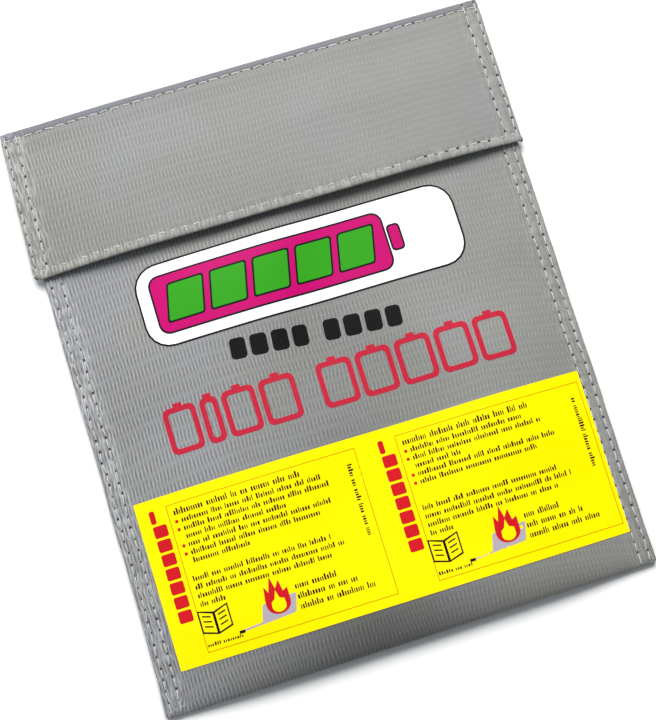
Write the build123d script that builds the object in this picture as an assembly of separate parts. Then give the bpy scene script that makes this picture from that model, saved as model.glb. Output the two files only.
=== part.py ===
"""Fire-resistant storage bag for model batteries, lying on its back with the flap closed.

Millimetres. X runs across the bag, +Y runs up the bag to the fold that the flap turns on, and
+Z points out of the front panel. The origin is on the floor, under the middle of the bag.
Each cloth piece is a thin solid that follows one height rule, so the layers stay stacked.
"""
import os

from build123d import *

# Overall sizes
bag_height = 216.0
body_width = 180.0
flap_overhang = 1.5
flap_drop = 55.7
flap_corner_radius = 4.0

# Cloth, strips and thread
shell_cloth = 0.5
lining_cloth = 0.4
strip_pile = 1.0
label_film = 0.15
thread = 0.25
thread_width = 0.6

# Clearances
layer_gap = 0.15
body_gap = 0.3
seam_inset = 7.4

# How full the pocket stands
seam_top = 3.3
pocket_rise = 8.0
mouth_drop = 4.2
crown_y = -20.0
back_sink = 1.0
back_edge_lift = 1.1
fold_roundness = 2.3

# Mouth, lining and hems
mouth_setback = 11.0
mouth_hem_width = 11.0
flap_hem_width = 7.0
back_lining_setback = 8.0

# Hook and loop closure
loop_end_inset = 20.0
loop_width = 20.0
hook_end_inset = 24.0
hook_width = 16.0
closure_from_flap_edge = 16.0

# Turning fold between the back panel and the flap
turn_depth = 2.6

# Seam rows, measured in from the cloth's edge
outer_row = 2.2
inner_row = 5.8
flap_outer_row = 1.4
flap_inner_row = 5.6
flap_front_row = 3.0
turn_row = 0.9
mouth_row = 6.0
strip_row = 1.5

# Printed panels on the front
label_left_inset = 8.9
label_right_inset = 6.6
label_height = 59.8
label_above_bottom = 13.5
badge_width = 119.0
badge_height = 31.0
badge_corner_radius = 9.0
badge_above_bottom = 137.9

half_width = body_width / 2
half_flap = half_width + flap_overhang
top_y = bag_height / 2
bottom_y = -bag_height / 2
mouth_y = top_y - mouth_setback
flap_edge_y = top_y - flap_drop
turn_y = top_y - turn_depth
closure_y = flap_edge_y + closure_from_flap_edge
loop_length = body_width - 2 * loop_end_inset
hook_length = body_width - 2 * hook_end_inset
fold_start_y = bottom_y + fold_roundness * (seam_top + pocket_rise) / 2
body_steps = [-1.0, -0.965, -0.92, -0.86, -0.78, -0.65, -0.45, -0.22]
body_steps = body_steps + [0.0] + [-step for step in reversed(body_steps)]
row_spacing = 12.0
tall = 60.0

# Thickness of the flap's layers, and how far it stands off the front panel
flap_stack = shell_cloth + layer_gap + lining_cloth
seam_standoff = 2 * (layer_gap + thread) + body_gap + flap_stack
closure_standoff = 2 * strip_pile + layer_gap
closure_end_y = closure_y + loop_width / 2 + 2.0
standoff_end_y = mouth_y + 3.0


def rise(y):
    """Height of the pocket's crown above its side seams at a place up the bag."""
    along = min(max(y, fold_start_y), mouth_y)
    return pocket_rise - mouth_drop * ((along - crown_y) / (mouth_y - crown_y)) ** 2


def pillow(x):
    """Share of the crown's height that is left at a place across the bag."""
    across = min(1.0, abs(x) / half_width)
    return (1 - across**4) ** 1.5


def front_top(x, y):
    """Upper surface of the front panel."""
    return seam_top + rise(y) * pillow(x)


def back_bottom(x):
    """Lower surface of the back panel, before the floor trims it flat."""
    across = abs(x) / half_width
    return (back_sink + back_edge_lift) * across**4 - back_sink


def closure_share(x, y):
    """1 over the hook and loop strips, fading to 0 at the flap's sides and past the mouth."""
    along = (y - closure_end_y) / (standoff_end_y - closure_end_y)
    along = min(1.0, max(0.0, along))
    return (1 - min(1.0, abs(x) / half_flap) ** 8) * (1 - along * along * (3 - 2 * along))


def flap_top(x, y):
    """Upper surface of the flap."""
    return front_top(x, y) + seam_standoff + closure_standoff * closure_share(x, y)


def spread(low, high, inner):
    """Places from low to high, with those of the inner ones that lie well between them."""
    margin = (high - low) / 20
    return [low] + [place for place in inner if low + margin < place < high - margin] + [high]


def rows_between(low, high):
    count = int((high - low) / row_spacing)
    return spread(low, high, [low + (high - low) * i / (count + 1) for i in range(1, count + 1)])


def layer(x_low, x_high, y_low, y_high, upper, lower, half=half_width):
    """A thin solid between two height rules, over a rectangle of the bag."""
    sections = []
    rows = rows_between(y_low, y_high)
    for x in spread(x_low, x_high, [half * step for step in body_steps]):
        over = [Vector(x, y, upper(x, y)) for y in rows]
        under = [Vector(x, y, lower(x, y)) for y in rows]
        edges = [Spline(over) if len(over) > 2 else Line(over[0], over[1])]
        edges.append(Line(over[-1], under[-1]))
        back = list(reversed(under))
        edges.append(Spline(back) if len(back) > 2 else Line(back[0], back[1]))
        edges.append(Line(under[0], over[0]))
        sections.append(Face(Wire(edges)))
    return loft(sections)


def on_front(x_low, x_high, y_low, y_high, gap, thickness):
    """A layer that lies over the front panel, a gap above it."""
    return layer(
        x_low,
        x_high,
        y_low,
        y_high,
        lambda x, y: front_top(x, y) + gap + thickness,
        lambda x, y: front_top(x, y) + gap,
    )


def in_flap(x_low, x_high, y_low, y_high, depth, thickness):
    """A layer of the flap whose upper surface is a depth below the flap's own."""
    return layer(
        x_low,
        x_high,
        y_low,
        y_high,
        lambda x, y: flap_top(x, y) - depth,
        lambda x, y: flap_top(x, y) - depth - thickness,
        half_flap,
    )


def slab(x_half, y_low, y_high, z_low, z_high):
    """A plain block that is centred on the bag."""
    size = (2 * x_half, y_high - y_low, z_high - z_low)
    middle = (0, (y_low + y_high) / 2, (z_low + z_high) / 2)
    return Pos(*middle) * Box(*size)


def half_ellipse(radius_y, radius_z, start_angle):
    return EllipticalCenterArc((0, 0), radius_y, radius_z, start_angle, arc_size=180)


def pocket_form(inset, x_half, y_end):
    """The closed pocket's outline, drawn in by an inset and cut flat by the floor."""
    sections = []
    steps = [half_width * step for step in body_steps]
    for x in spread(-x_half, x_half, steps):
        low = back_bottom(x)
        radius_z = (front_top(x, bottom_y) - low) / 2
        radius_y = fold_roundness * radius_z
        middle = low + radius_z
        start_y = bottom_y + radius_y
        start = Vector(x, start_y, middle + radius_z - inset)
        end = Vector(x, start_y, low + inset)
        plane = Plane(origin=(x, start_y, middle), x_dir=(0, 1, 0), z_dir=(1, 0, 0))
        turn = half_ellipse(radius_y - inset, radius_z - inset, 90)
        over = [start]
        for y in rows_between(fold_start_y + row_spacing, y_end):
            over.append(Vector(x, y, front_top(x, y) - inset))
        mouth_low = Vector(x, y_end, low + inset)
        edges = [plane * turn, Line(end, mouth_low), Line(mouth_low, over[-1]), Spline(over)]
        sections.append(Face(Wire(edges)))
    return loft(sections) & slab(body_width, 2 * bottom_y, 2 * top_y, inset, tall)


def pocket_strip(outer_inset, cloth, x_half, front_end, back_end):
    """One strip of cloth: up the front panel, round the bottom fold and up the back panel."""
    overrun = 2.0
    outside = pocket_form(outer_inset, x_half, back_end)
    inside = pocket_form(outer_inset + cloth, x_half + overrun, back_end + overrun)
    above_back = (seam_top + back_edge_lift) / 2
    over_mouth = slab(body_width, front_end, 2 * top_y, above_back, tall)
    return outside - inside - over_mouth


def stitched_edge(x):
    """A seam row up one side of the pocket: the run on the front and the run on the back."""
    low = x - thread_width / 2
    high = x + thread_width / 2
    start = bottom_y + 2 * outer_row
    front = on_front(low, high, start, mouth_y - outer_row, layer_gap, thread)
    back = layer(
        low,
        high,
        start,
        turn_y - outer_row,
        lambda x, y: back_bottom(x) - layer_gap,
        lambda x, y: back_bottom(x) - layer_gap - thread,
    )
    return Compound([front, back])


def flap_stitching(x_low, x_high, y_low, y_high):
    """A seam row through the flap: the run on top and the run underneath."""
    over = in_flap(x_low, x_high, y_low, y_high, -layer_gap - thread, thread)
    under = in_flap(x_low, x_high, y_low, y_high, flap_stack + layer_gap, thread)
    return Compound([over, under])


def strip_stitching(run, length, width, depth):
    """Four thread runs round a strip, a little inside its edges."""
    x_end = length / 2 - strip_row
    y_low = closure_y - width / 2 + strip_row
    y_high = closure_y + width / 2 - strip_row
    half = thread_width / 2
    clear = thread_width
    return Compound(
        [
            run(-x_end, x_end, y_low - half, y_low + half, depth, thread),
            run(-x_end, x_end, y_high - half, y_high + half, depth, thread),
            run(-x_end - half, -x_end + half, y_low + clear, y_high - clear, depth, thread),
            run(x_end - half, x_end + half, y_low + clear, y_high - clear, depth, thread),
        ]
    )


def seam_allowance(side):
    """The doubled cloth that is turned in along one side seam."""
    thickness = 2 * lining_cloth
    x_outer = side * (half_width - layer_gap)
    x_inner = side * (half_width - seam_inset)

    def middle(x, y):
        return (front_top(x, y) + back_bottom(x)) / 2

    return layer(
        min(x_outer, x_inner),
        max(x_outer, x_inner),
        bottom_y + seam_inset,
        mouth_y - layer_gap,
        lambda x, y: middle(x, y) + thickness / 2,
        lambda x, y: middle(x, y) - thickness / 2,
    )


def turning_fold():
    """The half round of cloth that joins the back panel to the flap."""
    sections = []
    start_y = turn_y + body_gap
    for step in body_steps:
        x = half_width * step
        low = max(0.0, back_bottom(x))
        radius_z = (flap_top(x, turn_y) - low) / 2
        radius_y = top_y - start_y
        plane = Plane(origin=(x, start_y, low + radius_z), x_dir=(0, 1, 0), z_dir=(1, 0, 0))
        inner_y = radius_y - shell_cloth
        inner_z = radius_z - shell_cloth
        outer = plane * half_ellipse(radius_y, radius_z, -90)
        inner = plane * half_ellipse(inner_y, inner_z, -90)
        upper = Line(outer @ 1, inner @ 1)
        lower = Line(inner @ 0, outer @ 0)
        sections.append(Face(Wire([outer, upper, inner, lower])))
    return loft(sections) & slab(body_width, turn_y, 2 * top_y, 0, tall)


def flap_panel():
    """The flap's outer cloth, with rounded corners at its free edge."""
    panel = in_flap(-half_flap, half_flap, flap_edge_y, turn_y, 0, shell_cloth)
    length = 2 * flap_drop
    outline = RectangleRounded(2 * half_flap, length, flap_corner_radius)
    footprint = Pos(0, flap_edge_y + length / 2, 0) * extrude(outline, tall)
    return panel & footprint


def build():
    nodes = {}
    lining_edge = half_width - seam_inset - 2 * layer_gap
    lining_inset = shell_cloth + layer_gap
    lining_mouth = mouth_y - mouth_hem_width
    nodes["outer_shell"] = pocket_strip(0, shell_cloth, half_width, mouth_y, turn_y)
    nodes["inner_lining"] = pocket_strip(
        lining_inset,
        lining_cloth,
        lining_edge,
        lining_mouth,
        top_y - back_lining_setback,
    )
    nodes["left_seam_allowance"] = seam_allowance(-1)
    nodes["right_seam_allowance"] = seam_allowance(1)
    nodes["mouth_hem"] = on_front(
        -lining_edge,
        lining_edge,
        lining_mouth + layer_gap,
        mouth_y - layer_gap,
        -2 * shell_cloth - layer_gap,
        shell_cloth,
    )
    nodes["mouth_hem_stitching"] = on_front(
        -lining_edge,
        lining_edge,
        mouth_y - mouth_row - thread_width / 2,
        mouth_y - mouth_row + thread_width / 2,
        layer_gap,
        thread,
    )

    # Side seams of the pocket and of the flap
    for side, name in ((-1, "left"), (1, "right")):
        nodes[name + "_outer_stitching"] = stitched_edge(side * (half_width - outer_row))
        nodes[name + "_inner_stitching"] = stitched_edge(side * (half_width - inner_row))
        for row, place in (("outer", flap_outer_row), ("inner", flap_inner_row)):
            x = side * (half_flap - place)
            nodes["flap_" + name + "_" + row + "_stitching"] = flap_stitching(
                x - thread_width / 2,
                x + thread_width / 2,
                flap_edge_y + flap_front_row + thread_width,
                turn_y - turn_row - thread_width,
            )
        hem_edges = (side * (half_flap - layer_gap), side * (half_flap - flap_hem_width))
        nodes["flap_" + name + "_hem"] = in_flap(
            min(hem_edges),
            max(hem_edges),
            flap_edge_y + flap_hem_width + layer_gap,
            turn_y,
            shell_cloth + layer_gap,
            lining_cloth,
        )

    # Hook and loop closure
    loop_gap = layer_gap
    hook_depth = flap_stack + layer_gap
    nodes["loop_strip"] = on_front(
        -loop_length / 2,
        loop_length / 2,
        closure_y - loop_width / 2,
        closure_y + loop_width / 2,
        loop_gap,
        strip_pile,
    )
    nodes["loop_strip_stitching"] = strip_stitching(
        on_front, loop_length, loop_width, loop_gap + strip_pile + layer_gap
    )
    nodes["hook_strip"] = in_flap(
        -hook_length / 2,
        hook_length / 2,
        closure_y - hook_width / 2,
        closure_y + hook_width / 2,
        hook_depth,
        strip_pile,
    )
    nodes["hook_strip_stitching"] = strip_stitching(
        in_flap, hook_length, hook_width, hook_depth + strip_pile + layer_gap
    )

    # Printed films on the front panel
    label_low = bottom_y + label_above_bottom
    nodes["label_panel"] = on_front(
        label_left_inset - half_width,
        half_width - label_right_inset,
        label_low,
        label_low + label_height,
        2 * layer_gap + thread,
        label_film,
    )
    badge_y = bottom_y + badge_above_bottom
    badge_sheet = on_front(
        -badge_width / 2,
        badge_width / 2,
        badge_y - badge_height / 2,
        badge_y + badge_height / 2,
        layer_gap,
        label_film,
    )
    badge_outline = extrude(RectangleRounded(badge_width, badge_height, badge_corner_radius), tall)
    nodes["badge_film"] = badge_sheet & (Pos(0, badge_y, 0) * badge_outline)

    # Flap
    nodes["flap_outer"] = flap_panel()
    inner_edge = half_flap - flap_hem_width - layer_gap
    nodes["flap_lining"] = in_flap(
        -inner_edge,
        inner_edge,
        flap_edge_y + flap_hem_width + layer_gap,
        turn_y,
        shell_cloth + layer_gap,
        lining_cloth,
    )
    nodes["flap_front_hem"] = in_flap(
        -half_flap + flap_corner_radius,
        half_flap - flap_corner_radius,
        flap_edge_y + layer_gap,
        flap_edge_y + flap_hem_width,
        shell_cloth + layer_gap,
        lining_cloth,
    )
    row_end = half_flap - flap_outer_row - thread_width
    for name, y in (
        ("flap_front_stitching", flap_edge_y + flap_front_row),
        ("top_fold_stitching", turn_y - turn_row),
    ):
        nodes[name] = flap_stitching(
            -row_end,
            row_end,
            y - thread_width / 2,
            y + thread_width / 2,
        )
    nodes["top_fold"] = turning_fold()
    return nodes


os.makedirs("parts", exist_ok=True)
for node, solid in build().items():
    export_step(solid, os.path.join("parts", node + ".step"))
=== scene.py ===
"""A grey glass-cloth bag for model batteries: cloth, turned hems, seams, closure and prints.

Functions work in millimetres on the bag's own axes, and meshes are written in metres.
X runs across the bag, +Y up the bag to the fold that the flap turns on, +Z out of its front.
"""
import math
from functools import partial

import bmesh
import bpy
import numpy as np
from mathutils import Matrix, Vector


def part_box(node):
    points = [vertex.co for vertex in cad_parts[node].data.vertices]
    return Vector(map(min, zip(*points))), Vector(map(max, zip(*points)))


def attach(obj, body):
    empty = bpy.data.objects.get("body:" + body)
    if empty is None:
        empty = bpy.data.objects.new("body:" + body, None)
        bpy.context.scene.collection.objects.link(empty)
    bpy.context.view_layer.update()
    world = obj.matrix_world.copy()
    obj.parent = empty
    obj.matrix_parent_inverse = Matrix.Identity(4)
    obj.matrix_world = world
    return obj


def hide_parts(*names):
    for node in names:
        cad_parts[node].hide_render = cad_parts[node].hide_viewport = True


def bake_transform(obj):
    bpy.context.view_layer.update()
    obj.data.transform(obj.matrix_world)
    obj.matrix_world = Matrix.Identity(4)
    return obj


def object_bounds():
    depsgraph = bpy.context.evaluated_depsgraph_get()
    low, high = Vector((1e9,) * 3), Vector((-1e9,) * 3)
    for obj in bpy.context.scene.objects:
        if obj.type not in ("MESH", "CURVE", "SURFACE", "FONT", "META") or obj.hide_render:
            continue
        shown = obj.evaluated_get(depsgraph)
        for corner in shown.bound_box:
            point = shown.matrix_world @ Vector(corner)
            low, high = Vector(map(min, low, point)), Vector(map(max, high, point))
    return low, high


bl_info = {
    "name": "Battery Bag",
    "version": (1, 0, 0),
    "blender": (4, 5, 0),
    "location": "View3D > Sidebar > Bag",
    "description": "Builds a flat glass-cloth bag for model batteries round its frame",
    "category": "Add Mesh",
}

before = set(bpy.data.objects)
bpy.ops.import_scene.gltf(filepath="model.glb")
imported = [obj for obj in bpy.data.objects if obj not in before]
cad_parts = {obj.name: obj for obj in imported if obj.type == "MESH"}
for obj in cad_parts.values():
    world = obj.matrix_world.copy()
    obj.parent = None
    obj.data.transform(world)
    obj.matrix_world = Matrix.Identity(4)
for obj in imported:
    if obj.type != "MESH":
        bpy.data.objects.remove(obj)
CAD_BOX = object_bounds()
PER_METRE = 1000.0


def node_box(name):
    """Lowest and highest corner of a frame node, in millimetres."""
    low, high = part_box(name)
    return low * PER_METRE, high * PER_METRE


SHELL_LOW, SHELL_HIGH = node_box("outer_shell")
FLAP_LOW, FLAP_HIGH = node_box("flap_outer")
LOOP_LOW, LOOP_HIGH = node_box("loop_strip")
HOOK_LOW, HOOK_HIGH = node_box("hook_strip")
LABEL_LOW, LABEL_HIGH = node_box("label_panel")
BADGE_LOW, BADGE_HIGH = node_box("badge_film")

HALF_BODY = SHELL_HIGH.x
HALF_FLAP = FLAP_HIGH.x
BOTTOM_Y = SHELL_LOW.y
TOP_Y = CAD_BOX[1].y * PER_METRE
TURN_Y = FLAP_HIGH.y
FLAP_EDGE_Y = FLAP_LOW.y
MOUTH_Y = node_box("mouth_hem")[1].y
CROWN_Z = SHELL_HIGH.z

# The height rule that the frame's cloth follows
SEAM_TOP = 3.3
POCKET_RISE = CROWN_Z - SEAM_TOP
MOUTH_DROP = 4.2
CROWN_Y = -20.0
BACK_SINK = 1.0
BACK_LIFT = 1.1
FOLD_ROUNDNESS = 2.3
SEAM_STANDOFF = 2.15
CLOSURE_STANDOFF = 2.15
CLOSURE_END_Y = LOOP_HIGH.y + 2
STANDOFF_END_Y = MOUTH_Y + 3
FOLD_START_Y = BOTTOM_Y + FOLD_ROUNDNESS * CROWN_Z / 2

# Seam rows, measured in from the cloth's edge
BODY_ROWS = (2.2, 5.8)
SEAM_START = BOTTOM_Y + 3.2
FLAP_ROWS = (1.4, 5.6)
FLAP_FRONT_ROW = 3.0
TOP_ROW_Y = TURN_Y - 0.9
MOUTH_ROW = 6.0
STRIP_INSET = 1.5

# How the cloth's edges are turned in, and where the seams' relief ends
CURL = 0.54
TURN_IN = 7.0
SEAM_ZONE = 12.0

# How the stitches draw the cloth in
GROOVE_DEPTH = 0.26
HOLE_BEAT = 0.12
BETWEEN_ROWS = 0.16
PUCKER_HEIGHT = 0.15
LEFT_UNEVEN = 1.25
RIGHT_UNEVEN = 0.6

# How far threads and tapes stand off the cloth
THREAD_LIFT = 0.14
TAPE_THREAD_LIFT = 0.12
LOOP_LIFT = 0.12
HOOK_DEPTH = 1.2

# Settled panels: mesh size, frames, and the height rules that come out, by panel
SETTLE_STEP = 4.0
SETTLE_FRAMES = 30
SMOOTHINGS = 5
SETTLED = {}

# Printed films: the faces' size, and how glossy and how woven the inks look
FILM_STEP = 2.5
PRINT_GLOSS = 0.42
LABEL_WEAVE = 0.12
SIGN_WEAVE = 0.2


def length(default, name, description):
    return bpy.props.FloatProperty(
        name=name, description=description, default=default, min=0.0, unit="LENGTH", precision=5
    )


def colour(default, name, description):
    return bpy.props.FloatVectorProperty(
        name=name, description=description, default=default, size=3, min=0, max=1, subtype="COLOR"
    )


class BagSizes(bpy.types.PropertyGroup):
    """Sizes of the cloth, thread and closure."""

    shell_cloth: length(0.0005, "Shell cloth", "Thickness of the coated outer cloth")
    lining_cloth: length(0.0004, "Lining cloth", "Thickness of the lining")
    tape_base: length(0.0005, "Tape base", "Thickness of the woven base of the closure tapes")
    rib_pitch: length(0.0014, "Rib pitch", "Distance between the ribs that run up the cloth")
    pick_pitch: length(0.0026, "Pick pitch", "Distance between the threads across the cloth")
    stitch_pitch: length(0.0041, "Stitch pitch", "Distance between needle holes")
    stitch_length: length(0.0034, "Stitch length", "Length of thread that shows in one stitch")
    thread_radius: length(0.00023, "Thread radius", "Half the thickness of the sewing thread")
    hole_radius: length(0.0004, "Needle hole", "Radius of the hole between two stitches")
    pile_spacing: length(0.0013, "Pile spacing", "Distance between the hooks or loops")
    pile_height: length(0.0009, "Pile height", "Height of the hooks and loops")
    cloth_slack: bpy.props.FloatProperty(
        name="Cloth slack",
        description="Share by which a settled panel is longer than the seams that hold it",
        default=0.0035,
        min=0.0,
        max=0.02,
    )


class BagColours(bpy.types.PropertyGroup):
    """Colours of the cloth, thread and inks."""

    cloth: colour((0.237, 0.240, 0.224), "Cloth", "Coated glass cloth")
    # Mixed into the cloth as painted bluish shade by the left seam and the fold
    blue_shade_cloth: colour((0.226, 0.228, 0.265), "Cool cloth", "Bluer cloth by the left seam and the fold")
    lining: colour((0.45, 0.46, 0.46), "Lining", "Uncoated lining cloth")
    thread: colour((0.49, 0.49, 0.49), "Thread", "Sewing thread")
    tape: colour((0.10, 0.10, 0.11), "Tape", "Hook and loop tape")
    yellow: colour((0.96, 0.78, 0.0), "Label yellow", "Ground of the label")
    red: colour((0.56, 0.010, 0.016), "Label red", "Red ink on the label")
    crimson: colour((0.45, 0.018, 0.042), "Cell red", "Red ink on the cloth")
    magenta: colour((0.46, 0.0, 0.130), "Magenta", "Battery sign's body")
    green: colour((0.026, 0.285, 0.008), "Green", "Battery sign's charge bars")
    black: colour((0.005, 0.005, 0.006), "Black", "Black ink")
    white: colour((0.86, 0.86, 0.86), "White", "White ink")
    grey: colour((0.42, 0.37, 0.42), "Grey", "Grey ink")
    brown: colour((0.50, 0.24, 0.0), "Frame line", "Thin frame lines on the label")


# ---------------------------------------------------------------- height rule


def rise(y):
    """Height of the pocket's crown above its side seams."""
    along = np.clip(y, FOLD_START_Y, MOUTH_Y)
    return POCKET_RISE - MOUTH_DROP * ((along - CROWN_Y) / (MOUTH_Y - CROWN_Y)) ** 2


def front_base(x, y):
    across = np.clip(np.abs(x) / HALF_BODY, 0, 1)
    return SEAM_TOP + rise(y) * (1 - across**4) ** 1.5


def back_base(x):
    across = np.clip(np.abs(x) / HALF_BODY, 0, 1.02)
    return np.maximum((BACK_SINK + BACK_LIFT) * across**4 - BACK_SINK, 0)


def flap_base(x, y):
    along = np.clip((y - CLOSURE_END_Y) / (STANDOFF_END_Y - CLOSURE_END_Y), 0, 1)
    share = 1 - np.clip(np.abs(x) / HALF_FLAP, 0, 1) ** 8
    share = share * (1 - along * along * (3 - 2 * along))
    return front_base(x, y) + SEAM_STANDOFF + CLOSURE_STANDOFF * share


def wander(t, seed, wave=23.0):
    """A smooth, uneven line between about -1 and 1: four waves, each shorter and weaker."""
    shorter, weaker, sum_of_waves = 0.61, 0.72, 2.2
    total = 0
    for order in range(4):
        phase = math.sin(seed * 12.9898 + order * 78.233) * 43.7585
        total = total + np.sin(2 * math.pi * t / (wave * shorter**order) + phase) * weaker**order
    return total / sum_of_waves


def hill(distance, width):
    return np.exp(-((distance / width) ** 2))


def seam_relief(from_edge, side, along, rows, seed):
    """How two rows of stitches draw the cloth in: grooves, swellings between holes, puckers."""
    pitch = settings().sizes.stitch_pitch * PER_METRE
    beat = np.cos(2 * math.pi * (along - SEAM_START) / pitch) * (1 + 0.6 * wander(along, seed + 5, 19))
    uneven = np.where(side < 0, LEFT_UNEVEN, RIGHT_UNEVEN)
    relief = 0.0
    for row in rows:
        away = from_edge - row
        relief = relief - GROOVE_DEPTH * hill(away, 0.8) + HOLE_BEAT * beat * hill(away, 1.3)
    away = from_edge - (rows[0] + rows[-1]) / 2
    relief = relief + BETWEEN_ROWS * hill(away, 1.1) * (1 + uneven * wander(along, seed, 8))
    inside = np.maximum(from_edge - rows[-1], 0)
    pucker = uneven * wander(along + 0.6 * inside, seed + 3, 8.5) * np.exp(-inside / 5) * (inside > 0)
    return relief + PUCKER_HEIGHT * pucker * (1 - np.exp(-inside / 1.5))


def settled(name, x, y):
    return SETTLED[name](x, y) if name in SETTLED else 0 * x


def half_body(side, y):
    """Half the pocket's width: the two edges lean and wander, and the bottom corners are round."""
    up = np.clip((y - BOTTOM_Y) / (MOUTH_Y - BOTTOM_Y), 0, 1)
    left_lean = 1.05 * (1 - up) ** 8 - 0.45
    right_lean = 0.6 * up - 0.68
    lean = np.where(side < 0, left_lean, right_lean)
    corner = 1.3
    into = np.clip((BOTTOM_Y + corner - y) / corner, 0, 1)
    return HALF_BODY + lean + 0.18 * wander(y, 5, 61) - corner * (1 - np.sqrt(1 - into**2))


def half_flap(side, y):
    """Half the flap's width: its left edge flares towards the free end."""
    up = np.clip((y - FLAP_EDGE_Y) / (TURN_Y - FLAP_EDGE_Y), 0, 1)
    left_flare, right_flare = 1.25 - 2.4 * up, -0.3
    return HALF_FLAP + np.where(side < 0, left_flare, right_flare) + 0.16 * wander(y, 8, 47)


def drape(x, y):
    """How far the bottom fold and the top fold run out of square."""
    near_bottom = np.clip((-40 - y) / 50, 0, 1)
    near_top = np.clip((y - 70) / 30, 0, 1)
    low = (0.0072 * x - 0.17) * near_bottom
    return low + (0.1 + 0.25 * (x / HALF_FLAP) ** 2) * near_top


def flap_sag(x, y):
    """How far the flap's free edge lies off its straight line, lowest just right of the middle."""
    across = x / HALF_FLAP
    bow = across**2 - 0.35 * across - 1.45
    fades_over = 40
    return bow * np.clip(1 - (y - FLAP_EDGE_Y) / fades_over, 0, 1)


def front_z(x, y):
    from_edge = half_body(np.sign(x), y) - np.abs(x)
    relief = seam_relief(from_edge, x, y, BODY_ROWS, 2)
    return front_base(x, y) + settled("front", x, y) + relief


def back_z(x, y):
    from_edge = half_body(np.sign(x), y) - np.abs(x)
    relief = seam_relief(from_edge, x, y, BODY_ROWS, 4)
    return back_base(x) - 0.6 * relief * (from_edge < SEAM_ZONE)


def flap_z(x, y):
    """Upper surface of the flap, with its side seams, its front seam and the rolled lip."""
    from_edge = half_flap(np.sign(x), y) - np.abs(x)
    from_front = y - FLAP_EDGE_Y - flap_sag(x, y)
    side = seam_relief(from_edge, x, y, FLAP_ROWS, 6)
    groove = -0.42 * hill(from_front - FLAP_FRONT_ROW, 0.9)
    pitch = settings().sizes.stitch_pitch * PER_METRE
    beat = 0.14 * np.cos(2 * math.pi * x / pitch) * hill(from_front - FLAP_FRONT_ROW, 1.2)
    lip = 0.12 * hill(from_front - 1.0, 1.2)
    behind = np.maximum(from_front - FLAP_FRONT_ROW, 0)
    pucker = 0.16 * wander(x, 11, 13) * (1 - np.exp(-behind)) * np.exp(-behind / 7)
    top_groove = -0.30 * hill(y - TOP_ROW_Y, 0.8)
    top_beat = 0.08 * np.cos(2 * math.pi * x / pitch) * hill(y - TOP_ROW_Y, 1.2)
    fade = np.clip((TURN_Y - y) / 0.8, 0, 1)
    front = groove + beat + lip + pucker
    return flap_base(x, y) + settled("flap", x, y) + side + front + (top_groove + top_beat) * fade


# ---------------------------------------------------------------- one strip of cloth


def strip_columns(fine):
    """Columns across the cloth: side, distance in from the edge, share to the middle, depth."""
    turn = [(step, 2 * CURL) for step in ((TURN_IN, 3.5, 1.4) if fine else ())]
    angles = np.radians(np.arange(180, -1, -30)) if fine else ()
    turn += [(CURL - CURL * math.sin(a), CURL * (1 - math.cos(a))) for a in angles]
    edges = (TURN_IN + 0.5, 9.5)
    if fine:
        edges = (1.0, 1.5, 2.2, 2.9, 3.5, 4.1, 4.8, 5.6, 6.3, 7.2, 8.2, 9.4, 10.7)
    half = [(e, 0.0, d) for e, d in turn + [(edge, 0.0) for edge in edges]]
    inner = 26 if fine else 20
    half += [(SEAM_ZONE, k / inner, 0.0) for k in range(inner)]
    left = [(-1, *column) for column in half]
    right = [(1, *column) for column in reversed(half)]
    return np.array(left + [(1, SEAM_ZONE, 1.0, 0.0)] + right)


def round_corner(x, y, half, corner_y, radius):
    """Draws the square corners of a panel's free end in to a radius."""
    a = np.clip((np.abs(x) - (half - radius)) / radius, 0, 1)
    b = np.clip((corner_y + radius - y) / radius, 0, 1)
    inside = (a > 0) & (b > 0)
    new_x = np.sign(x) * (half - radius + radius * a * np.sqrt(1 - b * b / 2))
    new_y = corner_y + radius - radius * b * np.sqrt(1 - a * a / 2)
    return np.where(inside, new_x, x), np.where(inside, new_y, y)


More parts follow.
